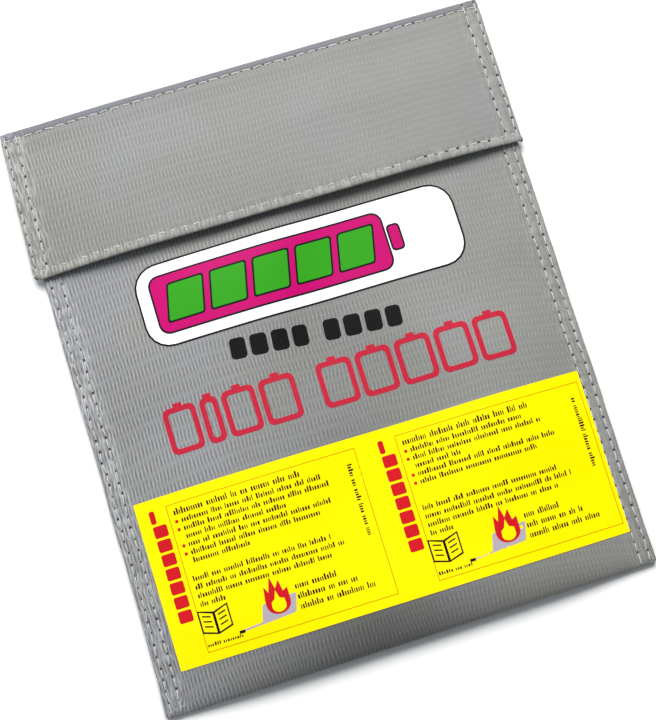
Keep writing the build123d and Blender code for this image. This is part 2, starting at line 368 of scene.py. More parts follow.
def strip_points(columns, row_step, extra=0.0):
    """Rows of cloth from the mouth round to the flap's free edge, and where its parts start."""
    side, edge, share, depth = columns.T
    depth = depth + extra

    def across(half):
        return side * (half - edge - share * (half - SEAM_ZONE))

    rows = []
    marks = {}

    def add(x, y, z, inward_y, inward_z, more=0.0):
        total = depth + more
        y = y + drape(x, y)
        rows.append(np.stack([x, y + inward_y * total, z + inward_z * total], axis=-1))

    def add_flat(x, y, z, direction, more=0.0):
        add(x, y, z, 0, direction, more)

    # Mouth hem, turned under
    hem_fade = np.clip((HALF_BODY - TURN_IN - 1 - np.abs(across(HALF_BODY))) / 4, 0, 1)
    for angle in np.radians(np.arange(180, 0, -30)):
        y = MOUTH_Y - CURL + CURL * math.sin(angle) + 0 * side
        x = across(half_body(side, y))
        add_flat(x, y, front_z(x, y), -1, CURL * (1 - math.cos(angle)) * hem_fade)

    # Front panel
    marks["front"] = len(rows)
    x_mid = across(HALF_BODY)
    radius_z = (front_base(x_mid, BOTTOM_Y) - back_base(x_mid)) / 2
    radius_y = FOLD_ROUNDNESS * (radius_z + 0.25)
    fold_y = BOTTOM_Y + radius_y
    count = int((MOUTH_Y - BOTTOM_Y) / row_step)
    for t in np.linspace(0, 1, count):
        y = MOUTH_Y + (fold_y - MOUTH_Y) * t
        x = across(half_body(side, y))
        add_flat(x, y, front_z(x, y), -1)

    # Bottom fold
    marks["bottom"] = len(rows)
    x = across(half_body(side, fold_y))
    top = front_z(x, fold_y)
    under = back_z(x, fold_y)
    for angle in np.radians(np.linspace(90, 270, 19)[1:-1]):
        y = fold_y + radius_y * math.cos(angle)
        x = across(half_body(side, y))
        z = (top + under) / 2 + (top - under) / 2 * math.sin(angle)
        slope_y = -math.cos(angle) * radius_z
        slope_z = -math.sin(angle) * radius_y
        size = np.hypot(slope_y, slope_z)
        add(x, y, z, slope_y / size, slope_z / size)

    # Back panel
    marks["back"] = len(rows)
    count = int((TURN_Y - BOTTOM_Y) / (row_step * 1.35))
    for t in np.linspace(0, 1, count):
        y = fold_y + (TURN_Y - fold_y) * t
        widen = np.clip((y - FLAP_EDGE_Y) / (TURN_Y - FLAP_EDGE_Y), 0, 1) ** 2
        x = across(half_body(side, y) * (1 - widen) + half_flap(side, y) * widen)
        add_flat(x, y, back_z(x, y), 1)

    # Top fold
    marks["fold"] = len(rows) - 1
    for angle in np.radians(np.linspace(-90, 90, 21)[1:-1]):
        y = TURN_Y + (TOP_Y - TURN_Y) * math.cos(angle) + 0 * side
        x = across(half_flap(side, TURN_Y))
        high = flap_z(x, TURN_Y + 0 * x)
        low = back_z(x, TURN_Y + 0 * x)
        z = (high + low) / 2 + (high - low) / 2 * math.sin(angle)
        slope_y = -math.cos(angle) * (high - low) / 2
        slope_z = -math.sin(angle) * (TOP_Y - TURN_Y) + 0 * side
        size = np.hypot(slope_y, slope_z)
        add(x, y, z, slope_y / size, slope_z / size)

    # Flap, with its free edge turned under
    marks["flap"] = len(rows)
    count = int((TURN_Y - FLAP_EDGE_Y) / row_step)
    ends = [(TURN_Y + (FLAP_EDGE_Y + CURL - TURN_Y) * t, 0.0) for t in np.linspace(0, 1, count)]
    for angle in np.radians(np.arange(30, 181, 30)):
        turned = FLAP_EDGE_Y + CURL - CURL * math.sin(angle)
        ends.append((turned, CURL * (1 - math.cos(angle))))
    ends.append((FLAP_EDGE_Y + 1.4, 2 * CURL))
    for place, more in ends:
        y = place + 0 * side
        half = half_flap(side, y)
        x = across(half)
        x_left, y_left = round_corner(x, y, half, FLAP_EDGE_Y, radius=4.0)
        x_right, y_right = round_corner(x, y, half, FLAP_EDGE_Y, radius=1.2)
        x = np.where(x < 0, x_left, x_right)
        y = np.where(x < 0, y_left, y_right)
        y = y + flap_sag(x, y)
        add_flat(x, y, flap_z(x, y), -1, more)
    marks["end"] = len(rows)
    return np.array(rows), marks


def strip_tones_and_shade(points, columns, marks):
    """How strongly the ribs show, how creased the seams are, and the painted shade: how much darker and
    how much bluer the cloth is painted.
    """
    edge, share = columns.T[1:3]
    x, y = points[..., 0], points[..., 1]
    across = x / HALF_BODY
    right = np.clip(0.5 + across / 2, 0, 1)
    middle = 1 - across**2
    creased = hill(np.maximum(edge - 6.5, 0), 2.0) * (share == 0) * (1.1 - 0.7 * right)
    # The ribs show more on the left and less up the front: painted raking light, since their crests are
    # painted paler and their hollows darker
    ribs = 0.26 + (0.74 - 0.2 * np.clip(y / 50, 0, 1)) * (1 - right) ** 1.5
    # Painted bluish shade, strongest on the left
    cool = 0.45 * (1 - right) ** 1.5
    # Painted shade: a value below 1 darkens the cloth's colour
    tone = 1.0 + 0 * x
    # Painted shade on the front: darker in the middle, a little darker to the right, and much darker
    # towards the bottom fold, where the cloth curves away from the light
    towards_fold = np.clip((-25 - y) / 75, 0, 1) ** 1.5
    front_painted_shade = 1.01 - 0.19 * hill(across, 0.42) - 0.05 * right
    front_painted_shade = front_painted_shade - (0.12 + 0.32 * hill(across + 0.25, 0.45)) * towards_fold
    front = slice(0, marks["back"])
    tone[front] = front_painted_shade[front]
    flap = slice(marks["flap"], marks["end"])
    # On the flap the ribs' painted raking light fades out to the right
    ribs[flap] = (0.06 + 0.52 * (1 - right) ** 1.3)[flap]
    from_front = y - FLAP_EDGE_Y - flap_sag(x, y)
    # Painted shade on the flap: darker in the middle, and darker still along the free edge where the
    # cloth rolls under
    edge_painted_shade = 0.30 * np.clip(1 - from_front / 1.8, 0, 1)
    tone[flap] = (0.97 - 0.09 * middle - edge_painted_shade)[flap]
    cool[flap] *= 0.4
    lip = 0.7 * hill(np.maximum(from_front - FLAP_FRONT_ROW, 0), 1.5)
    creased[flap] = np.maximum(creased, lip)[flap]
    # Painted shade on the top fold's band, which turns away from the light: darker and bluer, with
    # fainter ribs
    band = np.clip((y - TOP_ROW_Y) / 1.2, 0, 1)
    band[front] = 0
    tone = tone * (1 - 0.28 * band)
    ribs = ribs * (1 - 0.8 * band)
    cool = np.maximum(cool, band * (1 - 0.4 * right))
    return {"ribs": ribs, "creased": creased, "tone": tone, "cool": cool}


def strip_uv(points):
    """Flat co-ordinates of the cloth: across the bag, and along the strip."""
    middle = points[:, points.shape[1] // 2]
    steps = np.linalg.norm(np.diff(middle, axis=0), axis=1)
    along = np.concatenate([[0], np.cumsum(steps)])
    across_steps = np.linalg.norm(np.diff(points, axis=1), axis=2)
    across = np.concatenate([np.zeros((len(points), 1)), np.cumsum(across_steps, axis=1)], axis=1)
    across = across - across[:, [points.shape[1] // 2]]
    return np.stack([across, np.broadcast_to(along[:, None], across.shape)], axis=-1)


# ---------------------------------------------------------------- meshes


def settings():
    return bpy.context.scene.battery_bag


def link(obj):
    bpy.context.scene.collection.objects.link(obj)
    return obj


def grid_object(name, points, uv=None, flip=False, tones_and_shade=None):
    """A smooth mesh over rows and columns of points, with a value of each tone and painted shade at each
    point.
    """
    rows, columns = points.shape[:2]
    index = np.arange(rows * columns).reshape(rows, columns)
    corners = [index[:-1, :-1], index[1:, :-1], index[1:, 1:], index[:-1, 1:]]
    if flip:
        corners.reverse()
    faces = np.stack(corners, axis=-1).reshape(-1, 4)
    mesh = bpy.data.meshes.new(name)
    mesh.from_pydata((points.reshape(-1, 3) / PER_METRE).tolist(), [], faces.tolist())
    if uv is not None:
        layer = mesh.uv_layers.new(name="Cloth")
        flat = uv.reshape(-1, 2)[faces.reshape(-1)] / PER_METRE
        layer.data.foreach_set("uv", flat.astype(np.float32).ravel())
    for key, values in (tones_and_shade or {}).items():
        attribute = mesh.attributes.new(key, "FLOAT", "POINT")
        attribute.data.foreach_set("value", values.astype(np.float32).ravel())
    mesh.shade_smooth()
    return link(bpy.data.objects.new(name, mesh))


def bake(obj):
    """Turns an object's modifiers into its plain mesh."""
    graph = bpy.context.evaluated_depsgraph_get()
    mesh = bpy.data.meshes.new_from_object(obj.evaluated_get(graph))
    obj.modifiers.clear()
    old = obj.data
    obj.data = mesh
    mesh.name = obj.name
    bpy.data.meshes.remove(old)
    return obj


def thicken(obj, thickness, offset=-1.0):
    """Gives a sheet its thickness, with a crisp edge round it."""
    modifier = obj.modifiers.new("Thickness", "SOLIDIFY")
    modifier.thickness = thickness
    modifier.offset = offset
    bake(obj)
    obj.data.set_sharp_from_angle(angle=math.radians(50))
    return obj


def cloth_piece(name, points, uv, tones_and_shade, thickness, material):
    obj = grid_object(name, points, uv, tones_and_shade=tones_and_shade)
    obj.data.materials.append(material)
    return thicken(obj, thickness)


def film(name, outlines, lift, material, thickness=0.0):
    """Flat inked shapes, cut into small faces that follow the front panel."""
    shape = bmesh.new()
    for outline in outlines:
        shape.faces.new([shape.verts.new((x, y, 0)) for x, y in outline])
    for axis, span in ((0, HALF_BODY), (1, TOP_Y)):
        for place in np.arange(-span, span, FILM_STEP):
            ends = [[corner.co[axis] for corner in edge.verts] for edge in shape.edges]
            if not any(min(pair) < place < max(pair) for pair in ends):
                continue
            point = [0, 0, 0]
            normal = [0, 0, 0]
            point[axis] = place
            normal[axis] = 1
            everything = shape.verts[:] + shape.edges[:] + shape.faces[:]
            bmesh.ops.bisect_plane(shape, geom=everything, plane_co=point, plane_no=normal)
    flat = np.array([v.co for v in shape.verts])
    heights = ink_z(flat[:, 0], flat[:, 1]) + lift
    for vertex, height in zip(shape.verts, heights):
        vertex.co = (vertex.co.x / PER_METRE, vertex.co.y / PER_METRE, height / PER_METRE)
    shape.normal_update()
    for face in shape.faces:
        if face.normal.z < 0:
            face.normal_flip()
    mesh = bpy.data.meshes.new(name)
    shape.to_mesh(mesh)
    shape.free()
    mesh.uv_layers.new(name="Cloth")
    flat = np.array([mesh.vertices[loop.vertex_index].co[:2] for loop in mesh.loops])
    mesh.uv_layers[0].data.foreach_set("uv", flat.astype(np.float32).ravel())
    mesh.materials.append(material)
    mesh.shade_smooth()
    obj = link(bpy.data.objects.new(name, mesh))
    return thicken(obj, thickness / PER_METRE, 1.0) if thickness else obj


def ink_z(x, y):
    """The front panel as a film bridges it, without the seams' fine relief."""
    return front_base(x, y) + settled("front", x, y)


def keep(obj, slot, body, cad_node=None):
    """Hides the frame node that a finished piece stands for and hangs the piece on its body; the slot is
    not used.
    """
    if cad_node:
        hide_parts(cad_node)
    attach(obj, body)
    return obj


# ---------------------------------------------------------------- node helpers


def node(tree, kind, inputs=None, **values):
    """Adds a node, sets its own values, then sets or links its inputs."""
    made = tree.nodes.new(kind)
    for key, value in values.items():
        setattr(made, key, value)
    for key, value in (inputs or {}).items():
        if isinstance(value, bpy.types.NodeSocket):
            tree.links.new(value, made.inputs[key])
        else:
            made.inputs[key].default_value = value
    return made


def maths(tree, operation, first, second=0.0, third=0.0):
    made = node(tree, "ShaderNodeMath", {0: first, 1: second, 2: third}, operation=operation)
    return made.outputs[0]


def new_group(name, kind, inputs, outputs):
    """A node group with named sockets: (name, socket type, default)."""
    tree = bpy.data.node_groups.new(name, kind)
    for label, socket, default in inputs:
        made = tree.interface.new_socket(label, in_out="INPUT", socket_type=socket)
        if default is not None:
            made.default_value = default
    for label, socket in outputs:
        tree.interface.new_socket(label, in_out="OUTPUT", socket_type=socket)
    source = tree.nodes.new("NodeGroupInput").outputs
    target = tree.nodes.new("NodeGroupOutput").inputs
    return tree, source, target


def centred(tree, socket):
    return maths(tree, "SUBTRACT", socket, 0.5)


def weave_group():
    """Ribs up the cloth in short leaning strokes, crossed by picks, in cloth co-ordinates."""
    known = bpy.data.node_groups.get("Woven ribs")
    if known:
        return known
    tree, source, target = new_group(
        "Woven ribs",
        "ShaderNodeTree",
        [
            ("Cloth", "NodeSocketVector", None),
            ("Rib Pitch", "NodeSocketFloat", 1.4),
            ("Pick Pitch", "NodeSocketFloat", 2.6),
            ("Ribs", "NodeSocketFloat", 1.0),
            ("Picks", "NodeSocketFloat", 0.05),
            ("Lean", "NodeSocketFloat", 0.14),
            ("Wander", "NodeSocketFloat", 1.0),
            ("Grain", "NodeSocketFloat", 0.3),
        ],
        [("Height", "NodeSocketFloat"), ("Mottle", "NodeSocketFloat")],
    )
    calc = partial(maths, tree)
    in_mm = {0: source["Cloth"], "Scale": PER_METRE}
    flat = node(tree, "ShaderNodeVectorMath", in_mm, operation="SCALE").outputs[0]
    axes = node(tree, "ShaderNodeSeparateXYZ", {0: flat})

    def drift(scale, reach, detail):
        """Moves both axes by slow noise."""
        noise = node(
            tree, "ShaderNodeTexNoise", {"Vector": flat, "Scale": scale, "Detail": detail}
        )
        parts = node(tree, "ShaderNodeSeparateXYZ", {0: noise.outputs["Color"]})
        amount = calc("MULTIPLY", source["Wander"], reach)
        return [calc("MULTIPLY", centred(tree, parts.outputs[axis]), amount) for axis in (0, 1)]

    slow = drift(0.04, 4.0, 1.0)
    quick = drift(0.3, 0.5, 2.0)
    across = calc("ADD", calc("ADD", axes.outputs[0], slow[0]), quick[0])
    along = calc("ADD", calc("ADD", axes.outputs[1], slow[1]), quick[1])
    count = calc("DIVIDE", across, source["Rib Pitch"])
    which = calc("FLOOR", calc("ADD", count, 0.5))
    lot = node(tree, "ShaderNodeTexWhiteNoise", {"W": which}, noise_dimensions="1D")
    stroke = calc("MULTIPLY", calc("DIVIDE", along, source["Pick Pitch"]), math.pi)
    shift = calc("MULTIPLY_ADD", centred(tree, lot.outputs["Value"]), 2.2, stroke)
    sway = calc("MULTIPLY", calc("SINE", shift), source["Lean"])
    turn = calc("MULTIPLY_ADD", count, math.pi, sway)
    # The crests are narrower than the hollows; taking the mean off keeps the cloth's level
    sharpness, mean = 2.5, 0.46
    rib = calc("POWER", calc("ABSOLUTE", calc("COSINE", turn)), sharpness)
    rib = calc("SUBTRACT", rib, mean)
    stroke_share = calc("MULTIPLY_ADD", calc("COSINE", shift), 0.6, 1.0)
    rib = calc("MULTIPLY", rib, stroke_share)
    pick = calc("COSINE", calc("MULTIPLY", stroke, 2.0))
    fine_pick = calc("COSINE", calc("MULTIPLY", stroke, 4.0))
    pick = calc("MULTIPLY_ADD", fine_pick, 0.5, pick)
    grain = node(
        tree, "ShaderNodeTexNoise", {"Vector": flat, "Scale": 1.1, "Detail": 4.0, "Roughness": 0.7}
    )
    height = calc("MULTIPLY", rib, source["Ribs"])
    height = calc("MULTIPLY_ADD", pick, source["Picks"], height)
    height = calc("MULTIPLY_ADD", centred(tree, grain.outputs["Fac"]), source["Grain"], height)
    tree.links.new(height, target["Height"])
    patch = node(
        tree, "ShaderNodeTexNoise", {"Vector": flat, "Scale": 0.03, "Detail": 3.0, "Roughness": 0.55}
    )
    tree.links.new(patch.outputs["Fac"], target["Mottle"])
    return tree


def crease_group():
    """Short pale creases in the coating that run along a seam."""
    known = bpy.data.node_groups.get("Seam creases")
    if known:
        return known
    tree, source, target = new_group(
        "Seam creases",
        "ShaderNodeTree",
        [
            ("Cloth", "NodeSocketVector", None),
            ("Creased", "NodeSocketFloat", 1.0),
            ("Fineness", "NodeSocketFloat", 1.0),
        ],
        [("Height", "NodeSocketFloat"), ("Pale", "NodeSocketFloat")],
    )
    calc = partial(maths, tree)
    stretch = node(
        tree, "ShaderNodeVectorMath", {0: source["Cloth"], 1: (560.0, 105.0, 0.0)}, operation="MULTIPLY"
    )
    noise = node(
        tree,
        "ShaderNodeTexNoise",
        {"Vector": stretch.outputs[0], "Scale": source["Fineness"], "Detail": 1.5, "Roughness": 0.5},
    )
    ridge = calc("ABSOLUTE", centred(tree, noise.outputs["Fac"]))
    ridge = calc("SUBTRACT", 1.0, calc("MULTIPLY", ridge, 12.0))
    ridge = calc("MAXIMUM", ridge, 0.0)
    pale = calc("MULTIPLY", ridge, source["Creased"])
    tree.links.new(pale, target["Pale"])
    height = calc("MULTIPLY", centred(tree, noise.outputs["Fac"]), source["Creased"])
    tree.links.new(calc("MULTIPLY_ADD", height, 2.0, pale), target["Height"])
    return tree


def material(name):
    """A new material, its node tree and its shader."""
    made = bpy.data.materials.new(name)
    made.use_nodes = True
    return made, made.node_tree, made.node_tree.nodes["Principled BSDF"]


def cloth_uv(tree):
    return node(tree, "ShaderNodeUVMap", uv_map="Cloth").outputs[0]


def weave_node(tree, **values):
    """The woven ribs on this material's cloth co-ordinates."""
    group = node(tree, "ShaderNodeGroup", node_tree=weave_group())
    tree.links.new(cloth_uv(tree), group.inputs["Cloth"])
    for key, value in values.items():
        group.inputs[key.replace("_", " ")].default_value = value
    return group


def paint(tree, shader, base, shade):
    """Base colour: a colour or a socket, made lighter or darker by a value near 1."""
    if not isinstance(base, bpy.types.NodeSocket):
        base = tuple(base)
    tint = node(tree, "ShaderNodeVectorMath", {0: base, "Scale": shade}, operation="SCALE")
    tree.links.new(tint.outputs[0], shader.inputs["Base Color"])


def roughen(tree, shader, height, share, level):
    """Roughness about a level, moved by a share of a height."""
    rough = maths(tree, "MULTIPLY_ADD", height, share, level)
    tree.links.new(rough, shader.inputs["Roughness"])


def emboss(tree, shader, height, strength, distance):
    """Fine relief from a height."""
    values = {"Height": height, "Strength": strength, "Distance": distance}
    relief = node(tree, "ShaderNodeBump", values)
    tree.links.new(relief.outputs[0], shader.inputs["Normal"])


def fleck(tree, scale, detail=2.0):
    """Noise in the piece's own co-ordinates."""
    place = node(tree, "ShaderNodeTexCoord").outputs["Object"]
    values = {"Vector": place, "Scale": scale, "Detail": detail}
    return node(tree, "ShaderNodeTexNoise", values).outputs["Fac"]


def tone_value(tree, name):
    return node(tree, "ShaderNodeAttribute", attribute_name=name).outputs["Fac"]


def shell_material():
    """Coated glass cloth: ribs whose crests are painted paler as highlight and hollows darker as shade,
    creases at the seams, random uneven tone, and painted shade, partly bluish.
    """
    made, tree, shader = material("Coated glass cloth")
    sizes = settings().sizes
    weave = weave_node(
        tree, Rib_Pitch=sizes.rib_pitch * PER_METRE, Pick_Pitch=sizes.pick_pitch * PER_METRE
    )
    tree.links.new(tone_value(tree, "ribs"), weave.inputs["Ribs"])
    crease = node(tree, "ShaderNodeGroup", node_tree=crease_group())
    tree.links.new(cloth_uv(tree), crease.inputs["Cloth"])
    tree.links.new(tone_value(tree, "creased"), crease.inputs["Creased"])
    # The weave's crests painted paler and its hollows darker, as painted highlight and shade; the ribs
    # value sets how much
    shade = maths(tree, "MULTIPLY_ADD", weave.outputs["Height"], 0.58, 1.0)
    shade = maths(tree, "MULTIPLY_ADD", centred(tree, weave.outputs["Mottle"]), 0.20, shade)
    shade = maths(tree, "MULTIPLY_ADD", crease.outputs["Pale"], 0.55, shade)
    # Painted shade from the piece's vertex values
    shade = maths(tree, "MULTIPLY", shade, tone_value(tree, "tone"))
    patches = centred(tree, weave.outputs["Mottle"])
    # Painted bluish shade, broken up by random patches
    blue = maths(tree, "MULTIPLY_ADD", patches, 1.5, tone_value(tree, "cool"))
    colours = settings().colours
    hue = node(
        tree,
        "ShaderNodeMix",
        {0: blue, 6: (*colours.cloth, 1), 7: (*colours.blue_shade_cloth, 1)},
        data_type="RGBA",
        clamp_factor=True,
    )
    paint(tree, shader, hue.outputs[2], shade)
    roughen(tree, shader, weave.outputs["Height"], -0.10, 0.55)
    shader.inputs["Specular IOR Level"].default_value = 0.25
    height = maths(tree, "MULTIPLY_ADD", crease.outputs["Height"], 0.9, weave.outputs["Height"])
    emboss(tree, shader, height, 0.7, 0.00018)
    return made


def plain_weave(name, base, pitch, roughness, sheen):
    """A plain weave with equal threads both ways."""
    made, tree, shader = material(name)
    weave = weave_node(
        tree, Rib_Pitch=pitch, Pick_Pitch=2 * pitch, Ribs=0.8, Picks=0.35, Lean=0.15, Wander=0.5
    )
    shade = maths(tree, "MULTIPLY_ADD", weave.outputs["Height"], 0.25, 1.0)
    shade = maths(tree, "MULTIPLY_ADD", centred(tree, weave.outputs["Mottle"]), 0.15, shade)
    paint(tree, shader, base, shade)
    roughen(tree, shader, weave.outputs["Height"], -0.08, roughness)
    emboss(tree, shader, weave.outputs["Height"], 0.6, 0.00012)
    shader.inputs["Sheen Weight"].default_value = sheen
    return made


def lining_material():
    return plain_weave("Lining cloth", settings().colours.lining, 0.8, 0.78, 0.15)


def tape_material():
    return plain_weave("Closure tape", settings().colours.tape, 0.6, 0.82, 0.25)


def thread_material():
    """Sewing thread with fine unevenness in its ply."""
    known = bpy.data.materials.get("Sewing thread")
    if known:
        return known
    made, tree, shader = material("Sewing thread")
    ply = fleck(tree, 2600.0)
    paint(tree, shader, settings().colours.thread, maths(tree, "MULTIPLY_ADD", ply, 0.5, 0.75))
    emboss(tree, shader, ply, 0.5, 0.00008)
    shader.inputs["Roughness"].default_value = 0.55
    shader.inputs["Sheen Weight"].default_value = 0.1
    return made


def pile_material():
    known = bpy.data.materials.get("Closure pile")
    if known:
        return known
    made, tree, shader = material("Closure pile")
    shade = maths(tree, "MULTIPLY_ADD", fleck(tree, 900.0), 1.4, 0.5)
    paint(tree, shader, settings().colours.tape, shade)
    shader.inputs["Roughness"].default_value = 0.45
    return made


# Near-black discs standing in for needle holes: painted shade where the holes are
def hole_shade_material():
    known = bpy.data.materials.get("Needle hole")
    if known:
        return known
    made, tree, shader = material("Needle hole")
    shade = maths(tree, "MULTIPLY_ADD", fleck(tree, 1500.0), 0.02, 0.02)
    paint(tree, shader, (1.0, 1.0, 1.0), shade)
    shader.inputs["Roughness"].default_value = 0.9
    return made


def ink_material(name, base, gloss, weave_share):
    """Printed ink: a thin even film with the weave faintly showing through it."""
    known = bpy.data.materials.get(name)
    if known:
        return known
    made, tree, shader = material(name)
    weave = weave_node(tree, Ribs=0.7)
    shade = maths(tree, "MULTIPLY_ADD", weave.outputs["Height"], 0.30 * weave_share, 1.0)
    paint(tree, shader, base, shade)
    emboss(tree, shader, weave.outputs["Height"], 0.6 * weave_share, 0.00012)
    roughen(tree, shader, weave.outputs["Height"], 0.06, gloss)
    shader.inputs["Specular IOR Level"].default_value = 0.05
    return made


# ---------------------------------------------------------------- geometry node trees


def tree_point(tree, x, y, z):
    return node(tree, "ShaderNodeCombineXYZ", {0: x, 1: y, 2: z}).outputs[0]


def random_vector(tree, low, high, seed):
    values = {"Min": low, "Max": high, "Seed": seed}
    return node(tree, "FunctionNodeRandomValue", values, data_type="FLOAT_VECTOR").outputs[0]


def turned_more(tree, rotation, turn):
    """A rotation, turned again about its own axes."""
    values = {0: rotation, 1: turn}
    return node(tree, "FunctionNodeRotateRotation", values, rotation_space="LOCAL").outputs[0]


def arched_strand(tree, places, radius, steps, sides, caps):
    """A thin strand along an arch through three places."""
    arch = dict(zip(("Start", "Middle", "End"), places), Resolution=steps)
    arc = node(tree, "GeometryNodeCurveQuadraticBezier", arch)
    ring = node(tree, "GeometryNodeCurvePrimitiveCircle", {"Resolution": sides, "Radius": radius})
    swept = {"Curve": arc.outputs[0], "Profile Curve": ring.outputs[0], "Fill Caps": caps}
    return node(tree, "GeometryNodeCurveToMesh", swept).outputs[0]


def copies(tree, points, piece, rotation, finish, scale=(1.0, 1.0, 1.0), smooth=True):
    """Copies of a piece on points, as real geometry in a material."""
    values = {"Points": points, "Instance": piece, "Rotation": rotation, "Scale": scale}
    made = node(tree, "GeometryNodeInstanceOnPoints", values).outputs[0]
    made = node(tree, "GeometryNodeRealizeInstances", {0: made}).outputs[0]
    if smooth:
        made = node(tree, "GeometryNodeSetShadeSmooth", {0: made}).outputs[0]
    return node(tree, "GeometryNodeSetMaterial", {0: made, "Material": finish}).outputs[0]


def stitch_tree():
    """Thread, and dark discs painted as the shade in the needle holes, along the seam lines of a mesh.
    """
    known = bpy.data.node_groups.get("Stitch row")
    if known:
        return known
    tree, source, target = new_group(
        "Stitch row",
        "GeometryNodeTree",
        [
            ("Lines", "NodeSocketGeometry", None),
            ("Pitch", "NodeSocketFloat", 0.004),
            ("Length", "NodeSocketFloat", 0.003),
            ("Thread Radius", "NodeSocketFloat", 0.0003),
            ("Hole Radius", "NodeSocketFloat", 0.0003),
            ("Seed", "NodeSocketInt", 1),
            ("Thread", "NodeSocketMaterial", None),
            ("Hole", "NodeSocketMaterial", None),
        ],
        [("Stitches", "NodeSocketGeometry")],
    )
    curve = node(tree, "GeometryNodeMeshToCurve", {0: source["Lines"]})
    points = node(tree, "GeometryNodeCurveToPoints", {0: curve.outputs[0]}, mode="LENGTH")
    tree.links.new(source["Pitch"], points.inputs["Length"])
    along = node(
        tree, "FunctionNodeAlignRotationToVector", {"Vector": points.outputs["Tangent"]}, axis="X"
    )
    up = node(tree, "GeometryNodeInputNamedAttribute", {"Name": "up"}, data_type="FLOAT_VECTOR")
    upright = node(
        tree,
        "FunctionNodeAlignRotationToVector",
        {"Rotation": along.outputs[0], "Vector": up.outputs[0]},
        axis="Z",
        pivot_axis="X",
    )
    seed = source["Seed"]
    twist = random_vector(tree, (-0.04, -0.05, -0.13), (0.04, 0.05, 0.13), seed)
    turned = turned_more(tree, upright.outputs[0], twist)
    half = maths(tree, "MULTIPLY", source["Length"], 0.5)
    sink = maths(tree, "MULTIPLY", source["Thread Radius"], -0.9)
    crown = maths(tree, "MULTIPLY", source["Thread Radius"], 2.2)
    places = (
        tree_point(tree, maths(tree, "MULTIPLY", half, -1.0), 0.0, sink),
        tree_point(tree, 0.0, 0.0, crown),
        tree_point(tree, half, 0.0, sink),
    )
    stitch = arched_strand(tree, places, source["Thread Radius"], 6, 7, True)
    size = random_vector(tree, (0.75, 0.8, 0.8), (1.08, 1.2, 1.2), seed)
    threads = copies(tree, points.outputs[0], stitch, turned, source["Thread"], size)
    # Near-black discs between the stitches: painted shade in place of the needle holes
    disc = node(tree, "GeometryNodeMeshCircle", {"Vertices": 8}, fill_type="NGON")
    tree.links.new(source["Hole Radius"], disc.inputs["Radius"])
    lift = maths(tree, "MULTIPLY", source["Thread Radius"], 0.5)
    step = maths(tree, "MULTIPLY", source["Pitch"], 0.5)
    between = tree_point(tree, step, 0.0, lift)
    moved = {0: disc.outputs[0], "Scale": (1.25, 0.9, 1.0), "Translation": between}
    hole = node(tree, "GeometryNodeTransform", moved).outputs[0]
    worn = random_vector(tree, (0.88, 0.15, 1.0), (1.12, 1.35, 1.0), seed)
    holes = copies(tree, points.outputs[0], hole, turned, source["Hole"], worn, smooth=False)
    joined = node(tree, "GeometryNodeJoinGeometry")
    tree.links.new(holes, joined.inputs[0])
    tree.links.new(threads, joined.inputs[0])
    tree.links.new(joined.outputs[0], target["Stitches"])
    return tree


def pile_tree():
    """Hooks or loops that stand all over a tape's face."""
    known = bpy.data.node_groups.get("Closure pile")
    if known:
        return known
    tree, source, target = new_group(
        "Closure pile",
        "GeometryNodeTree",
        [
            ("Face", "NodeSocketGeometry", None),
            ("Spacing", "NodeSocketFloat", 0.0013),
            ("Height", "NodeSocketFloat", 0.0009),
            ("Tip Height", "NodeSocketFloat", 0.0),
            ("Strand Radius", "NodeSocketFloat", 0.00009),
            ("Seed", "NodeSocketInt", 1),
            ("Pile", "NodeSocketMaterial", None),
        ],
        [("Tape", "NodeSocketGeometry")],
    )
    points = node(
        tree,
        "GeometryNodeDistributePointsOnFaces",
        {0: source["Face"], "Distance Min": source["Spacing"], "Density Max": 900000.0,
         "Seed": source["Seed"]},
        distribute_method="POISSON",
    )
    spin = random_vector(tree, (-0.2, -0.2, -math.pi), (0.2, 0.2, math.pi), source["Seed"])
    turned = turned_more(tree, points.outputs["Rotation"], spin)
    reach = maths(tree, "MULTIPLY", source["Height"], 0.75)
    peak = maths(tree, "MULTIPLY", source["Height"], 1.9)
    places = (
        (0.0, 0.0, 0.0),
        tree_point(tree, maths(tree, "MULTIPLY", reach, 0.35), 0.0, peak),
        tree_point(tree, reach, 0.0, source["Tip Height"]),
    )
    strand = arched_strand(tree, places, source["Strand Radius"], 5, 3, False)
    pile = copies(tree, points.outputs[0], strand, turned, source["Pile"])
    tree.links.new(pile, target["Tape"])
    return tree


def run_tree(obj, tree, values):
    """Puts a geometry node tree on an object, sets its inputs and keeps the plain mesh."""
    modifier = obj.modifiers.new(tree.name, "NODES")
    modifier.node_group = tree
    identifiers = {
        item.name: item.identifier for item in tree.interface.items_tree if item.in_out == "INPUT"
    }
    for key, value in values.items():
        modifier[identifiers[key]] = value
    obj.update_tag()
    return bake(obj)


def stitch_rows(name, runs, seed):
    """Stitches along runs of points; each run is (points, which way its thread faces)."""
    vertices = []
    edges = []
    ups = []
    for points, facing in runs:
        start = len(vertices)
        vertices += (np.array(points) / PER_METRE).tolist()
        edges += [(start + i, start + i + 1) for i in range(len(points) - 1)]
        ups += [(0.0, 0.0, facing)] * len(points)
    mesh = bpy.data.meshes.new(name)
    mesh.from_pydata(vertices, edges, [])
    attribute = mesh.attributes.new("up", "FLOAT_VECTOR", "POINT")
    attribute.data.foreach_set("vector", np.array(ups, np.float32).ravel())
    obj = link(bpy.data.objects.new(name, mesh))
    sizes = settings().sizes
    return run_tree(
        obj,
        stitch_tree(),
        {
            "Pitch": sizes.stitch_pitch,
            "Length": sizes.stitch_length,
            "Thread Radius": sizes.thread_radius,
            "Hole Radius": sizes.hole_radius,
            "Seed": seed,
            "Thread": thread_material(),
            "Hole": hole_shade_material(),
        },
    )


